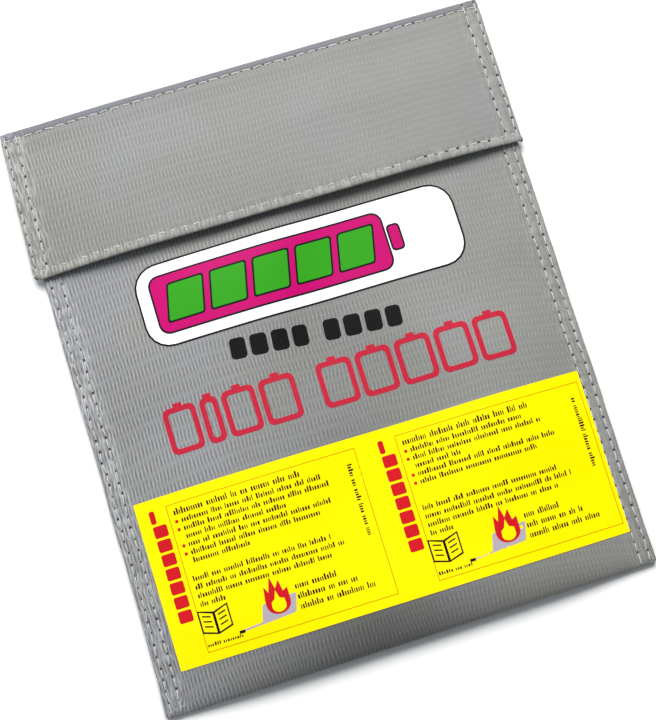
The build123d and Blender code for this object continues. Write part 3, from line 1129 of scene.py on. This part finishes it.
def pile_on(name, points, flip, tip_height, seed):
    """A tape's pile over a face."""
    obj = grid_object(name, points, flip=flip)
    sizes = settings().sizes
    return run_tree(
        obj,
        pile_tree(),
        {
            "Spacing": sizes.pile_spacing,
            "Height": sizes.pile_height,
            "Tip Height": tip_height,
            "Strand Radius": 0.00008,
            "Seed": seed,
            "Pile": pile_material(),
        },
    )


def line(x_low, x_high, y_low, y_high, rule, sag=None):
    """Points along a straight seam, at the height that a rule gives."""
    count = max(2, int(max(abs(x_high - x_low), abs(y_high - y_low))))
    x = np.linspace(x_low, x_high, count)
    y = np.linspace(y_low, y_high, count)
    if sag:
        y = y + sag(x, y)
    return np.stack([x, y + drape(x, y), rule(x, y)], axis=-1)


def side_line(side, row, half_rule, y_low, y_high, rule, sag=None):
    """Points up a side seam, a row's distance in from the uneven edge."""
    y = np.linspace(y_low, y_high, int(abs(y_high - y_low)))
    x = side * (half_rule(side, y) - row + 0.14 * wander(y, 31 + row, 37))
    if sag:
        y = y + sag(x, y)
    return np.stack([x, y + drape(x, y), rule(x, y)], axis=-1)


# ---------------------------------------------------------------- cloth settling


def settle_panel(name, x_half, y_low, y_high, most, seed):
    """Simulates a panel with a little more cloth than the seams that hold it, and keeps how it
    buckles as a height rule."""
    columns = int(2 * x_half / SETTLE_STEP) + 1
    rows = int((y_high - y_low) / SETTLE_STEP) + 1
    x = np.linspace(-x_half, x_half, columns)
    y = np.linspace(y_low, y_high, rows)
    grid_x, grid_y = np.meshgrid(x, y)
    start = 0.25 * wander(grid_x + 0.3 * grid_y, seed, 67) * wander(grid_y, seed + 1, 53)
    obj = grid_object(name + "_settling", np.stack([grid_x, grid_y, start], axis=-1), flip=True)
    ring = (grid_x == x[0]) | (grid_x == x[-1]) | (grid_y == y[0]) | (grid_y == y[-1])
    held = obj.vertex_groups.new(name="held")
    held.add(np.flatnonzero(ring.ravel()).tolist(), 1.0, "REPLACE")
    cloth = obj.modifiers.new("Cloth", "CLOTH")
    cloth.settings.vertex_group_mass = "held"
    cloth.settings.quality = 6
    cloth.settings.mass = 0.15
    cloth.settings.bending_stiffness = 3.0
    cloth.settings.shrink_min = -settings().sizes.cloth_slack
    cloth.settings.effector_weights.gravity = 0.0
    cloth.point_cache.frame_end = SETTLE_FRAMES + 10
    scene = bpy.context.scene
    for frame_number in range(1, SETTLE_FRAMES + 1):
        scene.frame_set(frame_number)
    graph = bpy.context.evaluated_depsgraph_get()
    result = obj.evaluated_get(graph).to_mesh()
    places = np.empty(len(result.vertices) * 3, np.float32)
    result.vertices.foreach_get("co", places)
    height = places.reshape(-1, 3)[:, 2].reshape(rows, columns) * PER_METRE
    scene.frame_set(1)
    bpy.data.objects.remove(obj)
    height = np.clip(height, -most, most)
    for _ in range(SMOOTHINGS):
        around = np.pad(height, 1, mode="edge")
        beside = around[:-2, 1:-1] + around[2:, 1:-1] + around[1:-1, :-2] + around[1:-1, 2:]
        height = (2 * height + beside) / 6

    def rule(at_x, at_y):
        across = np.clip((at_x - x[0]) / (x[1] - x[0]), 0, columns - 1.001)
        along = np.clip((at_y - y[0]) / (y[1] - y[0]), 0, rows - 1.001)
        i = across.astype(int)
        j = along.astype(int)
        u = across - i
        v = along - j
        low = height[j, i] * (1 - u) + height[j, i + 1] * u
        high = height[j + 1, i] * (1 - u) + height[j + 1, i + 1] * u
        return low * (1 - v) + high * v

    return rule


class BAG_OT_settle(bpy.types.Operator):
    """Lets the front panel and the flap settle between their seams"""

    bl_idname = "bag.settle_cloth"
    bl_label = "Settle cloth"

    def execute(self, context):
        edge = BODY_ROWS[-1] + 1
        SETTLED["front"] = settle_panel(
            "front", HALF_BODY - edge, FOLD_START_Y, MOUTH_Y, 1.3, 1
        )
        SETTLED["flap"] = settle_panel(
            "flap", HALF_FLAP - edge, FLAP_EDGE_Y + FLAP_FRONT_ROW, TOP_ROW_Y, 0.5, 4
        )
        return {"FINISHED"}


# ---------------------------------------------------------------- cloth pieces


class BAG_OT_shell(bpy.types.Operator):
    """The outer cloth: pocket, top fold and flap, one strip with its edges turned in"""

    bl_idname = "bag.shell"
    bl_label = "Outer cloth"

    def execute(self, context):
        sizes = settings().sizes
        cloth = shell_material()
        columns = strip_columns(True)
        points, marks = strip_points(columns, 1.0)
        uv = strip_uv(points)
        tones_and_shade = strip_tones_and_shade(points, columns, marks)
        last = points.shape[1] - 1
        hem_columns = 3
        inner = last - hem_columns
        hem_end = marks["end"] - 9
        parts = (
            ("pouch_shell", 0, marks["fold"], hem_columns, inner),
            ("seam_allowance_left", marks["front"], marks["fold"], 0, hem_columns),
            ("seam_allowance_right", marks["front"], marks["fold"], inner, last),
            ("top_fold_cloth", marks["fold"], marks["flap"], 0, last),
            ("flap_cloth", marks["flap"], marks["end"] - 1, hem_columns, inner),
            ("flap_side_hem_left", marks["flap"], hem_end, 0, hem_columns),
            ("flap_side_hem_right", marks["flap"], hem_end, inner, last),
        )
        made = {}
        for name, row_low, row_high, column_low, column_high in parts:
            rows = slice(row_low, row_high + 1)
            across = slice(column_low, column_high + 1)
            cut = {key: values[rows, across] for key, values in tones_and_shade.items()}
            made[name] = cloth_piece(
                name, points[rows, across], uv[rows, across], cut, sizes.shell_cloth, cloth
            )

        # Front hem of the flap, which lies under the rolled edge, and the mouth's hem
        def hem(name, x_half, y_low, y_high, surface):
            across = np.linspace(-x_half, x_half, 120)
            grid_x, grid_y = np.meshgrid(across, np.linspace(y_low, y_high, 9))
            x, y, z = surface(grid_x, grid_y)
            uv = np.stack([grid_x, grid_y], axis=-1)
            tones_and_shade = {"ribs": 0 * x + 0.5, "creased": 0 * x + 0.3, "tone": 0 * x + 1, "cool": 0 * x}
            made[name] = cloth_piece(
                name, np.stack([x, y, z], axis=-1), uv, tones_and_shade, sizes.shell_cloth, cloth
            )

        def under_flap(x, y):
            over_side_hem = np.clip((np.abs(x) - HALF_FLAP + TURN_IN) / 2 + 1, 0, 1)
            y = y + flap_sag(x, y)
            return x, y, flap_z(x, y) - 2 * CURL - 0.12 - 0.5 * over_side_hem

        def under_mouth(x, y):
            return x, y, front_z(x, y) - 2 * CURL - 0.05

        hem("flap_front_hem_strip", HALF_FLAP - 4, FLAP_EDGE_Y + 1.3, FLAP_EDGE_Y + TURN_IN, under_flap)
        hem("mouth_hem_strip", HALF_BODY - TURN_IN - 1, MOUTH_Y - 11, MOUTH_Y - 0.6, under_mouth)
        replaced = {
            "pouch_shell": "outer_shell",
            "seam_allowance_left": "left_seam_allowance",
            "seam_allowance_right": "right_seam_allowance",
            "top_fold_cloth": "top_fold",
            "flap_cloth": "flap_outer",
            "flap_side_hem_left": "flap_left_hem",
            "flap_side_hem_right": "flap_right_hem",
            "flap_front_hem_strip": "flap_front_hem",
            "mouth_hem_strip": "mouth_hem",
        }
        for name, cad_node in replaced.items():
            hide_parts(cad_node)
        pouch_hems = ("seam_allowance_left", "seam_allowance_right", "mouth_hem_strip")
        flap_hems = ("flap_side_hem_left", "flap_side_hem_right", "flap_front_hem_strip")
        for name in ("pouch_shell", *pouch_hems):
            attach(made[name], "pouch")
        for name in ("flap_cloth", *flap_hems):
            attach(made[name], "flap")
        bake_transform(made["top_fold_cloth"])
        return {"FINISHED"}


class BAG_OT_lining(bpy.types.Operator):
    """The lining of the pocket, the fold and the flap"""

    bl_idname = "bag.lining"
    bl_label = "Lining"

    def execute(self, context):
        sizes = settings().sizes
        cloth = lining_material()
        points, marks = strip_points(strip_columns(False), 3.0, 0.62)
        uv = strip_uv(points)
        start = marks["front"] + 4
        parts = (
            ("pocket_lining", start, marks["fold"]),
            ("fold_lining", marks["fold"], marks["flap"]),
            ("flap_lining_cloth", marks["flap"], marks["end"] - 10),
        )
        made = {}
        for name, low, high in parts:
            rows = slice(low, high + 1)
            made[name] = cloth_piece(name, points[rows], uv[rows], None, sizes.lining_cloth, cloth)
        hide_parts("inner_lining")
        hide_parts("flap_lining")
        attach(made["pocket_lining"], "pouch")
        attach(made["flap_lining_cloth"], "flap")
        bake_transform(made["fold_lining"])
        return {"FINISHED"}


# ---------------------------------------------------------------- seams and closure


class BAG_OT_seams(bpy.types.Operator):
    """Every row of stitches, on both faces of the cloth"""

    bl_idname = "bag.seams"
    bl_label = "Seams"

    def execute(self, context):
        def front(x, y):
            return front_z(x, y) + THREAD_LIFT

        def back(x, y):
            return back_z(x, y) - THREAD_LIFT

        def flap_upper(x, y):
            return flap_z(x, y) + THREAD_LIFT

        def flap_under(x, y):
            return flap_z(x, y) - 2 * CURL - THREAD_LIFT

        seed = 0
        for side, name in ((-1, "left"), (1, "right")):
            for row, distance in zip(("outer", "inner"), BODY_ROWS):
                seed += 1
                runs = [
                    (side_line(side, distance, half_body, SEAM_START, MOUTH_Y - 1, front), 1.0),
                    (side_line(side, distance, half_body, SEAM_START, TURN_Y - 1.5, back), -1.0),
                ]
                obj = stitch_rows("stitches_" + name + "_" + row, runs, seed)
                keep(obj, "sewing_thread", "pouch", name + "_" + row + "_stitching")
            for row, distance in zip(("outer", "inner"), FLAP_ROWS):
                seed += 1
                low = FLAP_EDGE_Y + FLAP_FRONT_ROW
                runs = [
                    (side_line(side, distance, half_flap, low, TOP_ROW_Y, flap_upper, flap_sag), 1.0),
                    (side_line(side, distance, half_flap, low, TOP_ROW_Y, flap_under, flap_sag), -1.0),
                ]
                obj = stitch_rows("flap_stitches_" + name + "_" + row, runs, seed)
                keep(obj, "sewing_thread", "flap", "flap_" + name + "_" + row + "_stitching")
        reach = HALF_FLAP - 3
        for name, cad_node, y, sunk in (
            ("flap_stitches_front", "flap_front_stitching", FLAP_EDGE_Y + FLAP_FRONT_ROW, 0.17),
            ("flap_stitches_top", "top_fold_stitching", TOP_ROW_Y, 0.04),
        ):
            seed += 1

            def drawn_in(at_x, at_y, sunk=sunk):
                return flap_upper(at_x, at_y) - sunk

            runs = [
                (line(-reach, reach, y, y, drawn_in, flap_sag), 1.0),
                (line(-reach, reach, y, y, flap_under, flap_sag), -1.0),
            ]
            keep(stitch_rows(name, runs, seed), "sewing_thread", "flap", cad_node)
        reach = HALF_BODY - TURN_IN - 2
        y = MOUTH_Y - MOUTH_ROW
        obj = stitch_rows("stitches_mouth_hem", [(line(-reach, reach, y, y, front), 1.0)], seed + 1)
        keep(obj, "sewing_thread", "pouch", "mouth_hem_stitching")
        return {"FINISHED"}


class BAG_OT_closure(bpy.types.Operator):
    """The hook tape in the flap and the loop tape on the pocket, with their stitching"""

    bl_idname = "bag.closure"
    bl_label = "Hook and loop closure"

    def execute(self, context):
        sizes = settings().sizes
        base = sizes.tape_base * PER_METRE
        tape = tape_material()
        jobs = (
            ("loop", LOOP_LOW, LOOP_HIGH, 1.0, "pouch", "closure_loops", 0.0, 31),
            ("hook", HOOK_LOW, HOOK_HIGH, -1.0, "flap", "closure_hooks", 0.0005, 37),
        )
        for name, low, high, facing, body, slot, tip, seed in jobs:

            def tape_z(x, y, name=name):
                if name == "loop":
                    return ink_z(x, y) + LOOP_LIFT
                return flap_z(x, y) - HOOK_DEPTH

            x = np.linspace(low.x, high.x, 48)
            y = np.linspace(low.y, high.y, 9)
            grid_x, grid_y = np.meshgrid(x, y)
            face = np.stack([grid_x, grid_y, tape_z(grid_x, grid_y) + facing * base], axis=-1)
            uv = np.stack([grid_x, grid_y], axis=-1)
            strip = grid_object(name + "_tape", face, uv, flip=facing > 0)
            strip.data.materials.append(tape)
            thicken(strip, sizes.tape_base)
            pile = pile_on(name + "_pile", face, facing > 0, tip, seed)
            reach = (high.x - low.x) / 2 - STRIP_INSET
            y_low = low.y + STRIP_INSET
            y_high = high.y - STRIP_INSET

            def thread_z(at_x, at_y, facing=facing, tape_z=tape_z):
                return tape_z(at_x, at_y) + facing * (base + TAPE_THREAD_LIFT)

            runs = [
                (line(-reach, reach, y_low, y_low, thread_z), facing),
                (line(-reach, reach, y_high, y_high, thread_z), facing),
                (line(-reach, -reach, y_low, y_high, thread_z), facing),
                (line(reach, reach, y_low, y_high, thread_z), facing),
            ]
            stitches = stitch_rows(name + "_tape_stitches", runs, seed + 1)
            keep(strip, slot, body, name + "_strip")
            keep(pile, slot, body)
            keep(stitches, "sewing_thread", body, name + "_strip_stitching")
        return {"FINISHED"}


# ---------------------------------------------------------------- prints


def rounded(x_low, x_high, y_low, y_high, radius, slant=0.0):
    """A rounded rectangle's outline; slant leans its upright sides."""
    radius = min(radius, (x_high - x_low) / 2.001, (y_high - y_low) / 2.001)
    middle = (y_low + y_high) / 2
    outline = []
    corners = ((x_high, y_high, 0), (x_low, y_high, 90), (x_low, y_low, 180), (x_high, y_low, 270))
    for x, y, start in corners:
        centre_x = x - math.copysign(radius, x - (x_low + x_high) / 2)
        centre_y = y - math.copysign(radius, y - middle)
        for angle in np.radians(np.linspace(start, start + 90, 6)):
            at_y = centre_y + radius * math.sin(angle)
            outline.append((centre_x + radius * math.cos(angle) + slant * (at_y - middle), at_y))
    return outline


def frame_bars(x_low, x_high, y_low, y_high, width):
    """Four thin bars that outline a rectangle."""
    half = width / 2
    return [
        box_outline(x_low - half, x_high + half, y_low - half, y_low + half),
        box_outline(x_low - half, x_high + half, y_high - half, y_high + half),
        box_outline(x_low - half, x_low + half, y_low + half, y_high - half),
        box_outline(x_high - half, x_high + half, y_low + half, y_high - half),
    ]


def box_outline(x_low, x_high, y_low, y_high):
    return [(x_low, y_low), (x_high, y_low), (x_high, y_high), (x_low, y_high)]


def turned(outlines, centre_x, centre_y, degrees):
    angle = math.radians(degrees)
    cos, sin = math.cos(angle), math.sin(angle)
    return [
        [
            (
                centre_x + (x - centre_x) * cos - (y - centre_y) * sin,
                centre_y + (x - centre_x) * sin + (y - centre_y) * cos,
            )
            for x, y in outline
        ]
        for outline in outlines
    ]


def block_line(x, y, reach, height, chance, upright=False):
    """One line of unreadable print: short blocks in groups, like words seen from far off."""
    blocks = []
    place = 0.0
    while place < reach:
        for _ in range(chance.integers(3, 13)):
            width = chance.uniform(0.32, 0.66)
            tall = height * chance.choice((0.74, 0.74, 0.74, 1.1))
            if place + width > reach:
                break
            if upright:
                blocks.append(box_outline(x, x + tall, y + place, y + place + width))
            else:
                blocks.append(box_outline(x + place, x + place + width, y, y + tall))
            place += width + 0.36
        place += height * 0.55
    return blocks


def ring(outer, inner):
    """Quads between two outlines with the same number of points."""
    count = len(outer)
    return [
        [outer[i], outer[(i + 1) % count], inner[(i + 1) % count], inner[i]] for i in range(count)
    ]


def flame(x, y, width, height, tongues):
    """A plain flame: a round base that rises to uneven tongues."""
    outline = []
    for angle in np.radians(np.linspace(180, 360, 12)):
        outline.append((x + width / 2 * math.cos(angle), y + width * 0.42 * (1 + math.sin(angle))))
    for share, top in tongues:
        outline.append((x + width * share, y + height * top))
    return outline


def print_piece(name, outlines, lift, ink, slot, thickness=0.0, cad_node=None):
    return keep(film(name, outlines, lift, ink, thickness), slot, "pouch", cad_node)


class BAG_OT_label(bpy.types.Operator):
    """The yellow label low on the front, with plain signs and unreadable print"""

    bl_idname = "bag.label"
    bl_label = "Label"

    def execute(self, context):
        inks = settings().colours
        chance = np.random.default_rng(7)
        left, right = LABEL_LOW.x, LABEL_HIGH.x
        low, high = LABEL_LOW.y, LABEL_HIGH.y
        slot = "printed_label"
        ground = [rounded(left, right, low, high, 0.3)]
        yellow = ink_material("Label yellow", inks.yellow, PRINT_GLOSS, LABEL_WEAVE)
        print_piece("label_ground", ground, 0.20, yellow, slot, 0.06, "label_panel")
        black, red, brown, grey, flames, hearts = [], [], [], [], [], []
        column_width = 83.5
        # How far each line of print runs, as a share of its column
        first = (0.92, 0.98, 0.66, 0.95, 0.86, 0.38)
        second = (0.74, 0.86, 0.30, 0.92, 0.78)
        for start, shares in ((left, first), (left + column_width, second)):
            brown += frame_bars(start + 11, start + 79.5, low + 3.5, high - 3.8, 0.28)
            # The upright heading, as seven blocks and a mark
            for block in range(8):
                bottom = low + 15.5 + block * 5.1
                tall = 4.2 if block < 7 else 4.6
                wide = 5.0 if block < 7 else 2.0
                red.append(rounded(start + 4.4, start + 4.4 + wide, bottom, bottom + tall, 0.7))
            black += block_line(start + 13.0, high - 7.7, 46, 2.1, chance)
            for index, share in enumerate(shares):
                y = high - 10.7 - 2.92 * index
                if share > 0.7:
                    red.append(rounded(start + 12.6, start + 13.8, y + 0.1, y + 1.3, 0.6))
                black += block_line(start + 15.0, y, 55 * share, 1.75, chance)
            for index, share in enumerate((0.93, 1.0, 0.90, 0.18)):
                black += block_line(start + 13.0, high - 31.5 - 3.05 * index, 54 * share, 1.75, chance)
            for index, share in enumerate((0.55, 0.8, 1.0)):
                black += block_line(start + 46, low + 15.5 - 3.6 * index, 27 * share, 2.0, chance)
            black += block_line(start + 80.0 - 4.6, high - 34, 26, 1.6, chance, upright=True)
            # An open book
            book_x, book_y = start + 16.5, low + 8.5
            for side in (-1, 1):
                page = [(book_x, book_y), (book_x + side * 5.5, book_y + 1.6)]
                page += [(book_x + side * 5.5, book_y + 9.6), (book_x, book_y + 8.0)]
                inner = [(book_x + side * 0.45, book_y + 0.7), (book_x + side * 5.0, book_y + 2.1)]
                inner += [(book_x + side * 5.0, book_y + 9.0), (book_x + side * 0.45, book_y + 7.4)]
                black += ring(page, inner)
                near, far = book_x + side * 1.3, book_x + side * 4.2
                for row in range(3):
                    at = book_y + 6.3 - 1.8 * row
                    black.append([(near, at), (far, at + 0.8), (far, at + 1.3), (near, at + 0.5)])
            black += block_line(start + 11.5, low + 5.2, 13, 1.1, chance)
            # A battery pack with its lead, and a flame over it
            pack_x, pack_y = start + 38.5, low + 11.0
            pack = rounded(pack_x - 6, pack_x + 6.5, pack_y - 3.4, pack_y + 3.0, 0.8, 0.35)
            lead = rounded(pack_x - 14, pack_x - 6.5, pack_y - 3.3, pack_y - 2.6, 0.3)
            grey += turned([pack, lead], pack_x, pack_y, 4)
            black.append(box_outline(pack_x - 15.2, pack_x - 13.2, pack_y - 4.6, pack_y - 3.6))
            tongues = ((0.50, 0.62), (0.30, 0.55), (0.22, 0.86), (0.02, 0.66), (-0.10, 1.0),
                       (-0.28, 0.60), (-0.42, 0.78), (-0.50, 0.42))
            flames.append(flame(pack_x + 0.5, pack_y - 2.0, 8.6, 13.2, tongues))
            small = ((0.48, 0.55), (0.16, 0.62), (0.0, 1.0), (-0.2, 0.62), (-0.46, 0.5))
            hearts.append(flame(pack_x + 0.5, pack_y - 1.4, 5.0, 7.6, small))
        pieces = (
            ("label_frames", brown, 0.27, "Frame line", inks.brown),
            ("label_pack_signs", grey, 0.27, "Grey ink", inks.grey),
            ("label_print", black, 0.32, "Black ink", inks.black),
            ("label_red_marks", red, 0.32, "Red ink", inks.red),
            ("label_flames", flames, 0.37, "Flame red", inks.red),
            ("label_flame_hearts", hearts, 0.42, "Flame yellow", inks.yellow),
        )
        for name, outlines, lift, ink_name, base in pieces:
            ink = ink_material(ink_name, base, PRINT_GLOSS, LABEL_WEAVE)
            print_piece(name, outlines, lift, ink, slot)
        return {"FINISHED"}


class BAG_OT_signs(bpy.types.Operator):
    """The battery sign, the black bars and the row of cells printed on the front"""

    bl_idname = "bag.signs"
    bl_label = "Printed signs"

    def execute(self, context):
        inks = settings().colours
        left, right = BADGE_LOW.x, BADGE_HIGH.x
        low, high = BADGE_LOW.y, BADGE_HIGH.y
        edge = 0.7
        radius = 9.0
        slot = "printed_badge"
        ground = [rounded(left, right, low, high, radius)]
        inside = [rounded(left + edge, right - edge, low + edge, high - edge, radius - edge)]
        body_left, body_right = left + 5, right - 27
        body_low, body_high = low + 4.5, high - 4.5
        middle = (low + high) / 2
        cap_left, cap_right = body_right + 0.4, body_right + 5.4
        cap_low, cap_high = middle - 5, middle + 5
        shapes = [
            rounded(body_left, body_right, body_low, body_high, 4.0),
            rounded(cap_left, cap_right, cap_low, cap_high, 1.6),
        ]
        fills = [
            rounded(body_left + edge, body_right - edge, body_low + edge, body_high - edge, 3.4),
            rounded(cap_left + edge, cap_right - edge, cap_low + edge, cap_high - edge, 1.0),
        ]
        count = 5
        span = (body_right - body_left - 8) / count
        outlines = []
        bars = []
        for index in range(count):
            bar_low = body_left + 4 + span * index + 1.0
            bar_high = bar_low + span - 2.0
            outlines.append(rounded(bar_low, bar_high, middle - 7.2, middle + 7.2, 1.2, 0.22))
            bars.append(rounded(bar_low + edge, bar_high - edge, middle - 6.5, middle + 6.5, 0.8, 0.22))
        layers = (
            ("badge_outline", ground, 0.07, "black", "badge_film"),
            ("badge_ground", inside, 0.12, "white", None),
            ("sign_body_outline", shapes, 0.17, "black", None),
            ("sign_body", fills, 0.22, "magenta", None),
            ("sign_bar_outlines", outlines, 0.27, "black", None),
            ("sign_bars", bars, 0.32, "green", None),
        )
        for name, drawn, lift, ink, cad_node in layers:
            sign_ink = ink_material("Sign " + ink, getattr(inks, ink), PRINT_GLOSS, SIGN_WEAVE)
            print_piece(name, drawn, lift, sign_ink, slot, cad_node=cad_node)

        # Black bars under the sign
        bar_widths = (5.7, 6.1, 5.9, 5.5)
        words = []
        place = -33.0
        for _ in range(2):
            for width in bar_widths:
                words.append(rounded(place, place + width, 0.8, 8.4, 1.5))
                place += width + 1.6
            place += 4.2
        words = turned(words, 0, 4.8, -4.6)
        cloth_black = ink_material("Cloth black", inks.black, 0.5, 0.5)
        print_piece("sign_bars_black", words, 0.09, cloth_black, slot)

        # A row of cells in red outline
        cells = []
        place = -62.4
        low_y, high_y = -22.8, -6.2
        stroke = 1.9
        gap_in_row = 0
        for width in (12.0, 6.5, 12.0, 13.0, gap_in_row, 13.0, 13.0, 13.0, 13.0, 13.0):
            if width == gap_in_row:
                place += 6.5
                continue
            outer = rounded(place, place + width, low_y, high_y, 2.4)
            inner = rounded(place + stroke, place + width - stroke, low_y + stroke, high_y - stroke, 1.2)
            cells += ring(outer, inner)
            middle = place + width / 2
            cells.append(rounded(middle - 1.6, middle + 1.6, high_y, high_y + 1.2, 0.4))
            place += width + 1.5
        red = ink_material("Cloth red", inks.crimson, 0.5, 0.6)
        print_piece("cell_row", cells, 0.09, red, slot)
        return {"FINISHED"}


# ---------------------------------------------------------------- stage


class BAG_OT_stage(bpy.types.Operator):
    """Floor, lights and camera"""

    bl_idname = "bag.stage"
    bl_label = "Stage"

    def execute(self, context):
        scene = context.scene
        floor_size = 3.0
        mesh = bpy.data.meshes.new("floor")
        corners = [(-1, -1), (1, -1), (1, 1), (-1, 1)]
        mesh.from_pydata([(x * floor_size, y * floor_size, 0) for x, y in corners], [], [(0, 1, 2, 3)])
        floor = link(bpy.data.objects.new("floor", mesh))
        made, _, shader = material("Pale floor")
        shader.inputs["Base Color"].default_value = (0.86, 0.86, 0.86, 1)
        shader.inputs["Roughness"].default_value = 0.8
        floor.data.materials.append(made)

        world = bpy.data.worlds.new("Studio")
        world.use_nodes = True
        background = world.node_tree.nodes["Background"]
        background.inputs["Color"].default_value = (0.88, 0.93, 1.0, 1)
        background.inputs["Strength"].default_value = 0.23
        scene.world = world
        lights = (
            ("key_light", (0.05, 0.60, 0.95), 0.75, 18.0, (1.0, 0.995, 0.97)),
            ("fill_light", (-0.7, 0.1, 0.9), 0.9, 2.0, (0.92, 0.96, 1.0)),
        )
        for name, place, size, power, tint in lights:
            light = bpy.data.lights.new(name, "AREA")
            light.shape = "DISK"
            light.size = size
            light.energy = power
            light.color = tint
            lamp = link(bpy.data.objects.new(name, light))
            lamp.location = place
            lamp.rotation_mode = "QUATERNION"
            lamp.rotation_quaternion = (-Vector(place)).to_track_quat("-Z", "Y")

        lens = bpy.data.cameras.new("camera")
        lens.lens = 80.0
        lens.sensor_width = 36.0
        lens.clip_start = 0.01
        camera = link(bpy.data.objects.new("camera", lens))
        place = Vector((-0.0377, -0.0821, 0.5683))
        look = Vector((-0.0008, -0.0056, 0.0080)) - place
        look.normalize()
        turn = math.radians(17.11)
        up = Vector((math.sin(turn), math.cos(turn), 0))
        right = look.cross(up).normalized()
        up = right.cross(look)
        facing = Matrix((right, up, -look)).transposed().to_4x4()
        camera.matrix_world = Matrix.Translation(place) @ facing
        scene.camera = camera
        scene.view_settings.view_transform = "Standard"
        return {"FINISHED"}


STEPS = (
    BAG_OT_stage,
    BAG_OT_settle,
    BAG_OT_shell,
    BAG_OT_lining,
    BAG_OT_seams,
    BAG_OT_closure,
    BAG_OT_label,
    BAG_OT_signs,
)


class BagSettings(bpy.types.PropertyGroup):
    """What a user can change."""

    sizes: bpy.props.PointerProperty(type=BagSizes, name="Sizes", description="Sizes of the bag")
    colours: bpy.props.PointerProperty(type=BagColours, name="Colours", description="Colours")


class BAG_PT_panel(bpy.types.Panel):
    """Lists the bag's steps in the sidebar"""

    bl_idname = "BAG_PT_panel"
    bl_label = "Battery Bag"
    bl_space_type = "VIEW_3D"
    bl_region_type = "UI"
    bl_category = "Bag"

    def draw(self, context):
        for step in STEPS:
            self.layout.operator(step.bl_idname)
        for group in (context.scene.battery_bag.sizes, context.scene.battery_bag.colours):
            for key in group.bl_rna.properties.keys():
                if key not in ("rna_type", "name"):
                    self.layout.prop(group, key)


CLASSES = (BagSizes, BagColours, BagSettings, *STEPS, BAG_PT_panel)


def register():
    for cls in CLASSES:
        bpy.utils.register_class(cls)
    bpy.types.Scene.battery_bag = bpy.props.PointerProperty(type=BagSettings)


def unregister():
    del bpy.types.Scene.battery_bag
    for cls in reversed(CLASSES):
        bpy.utils.unregister_class(cls)


def main():
    register()
    for step in STEPS:
        group, name = step.bl_idname.split(".")
        getattr(getattr(bpy.ops, group), name)()


if __name__ == "__main__":
    main()
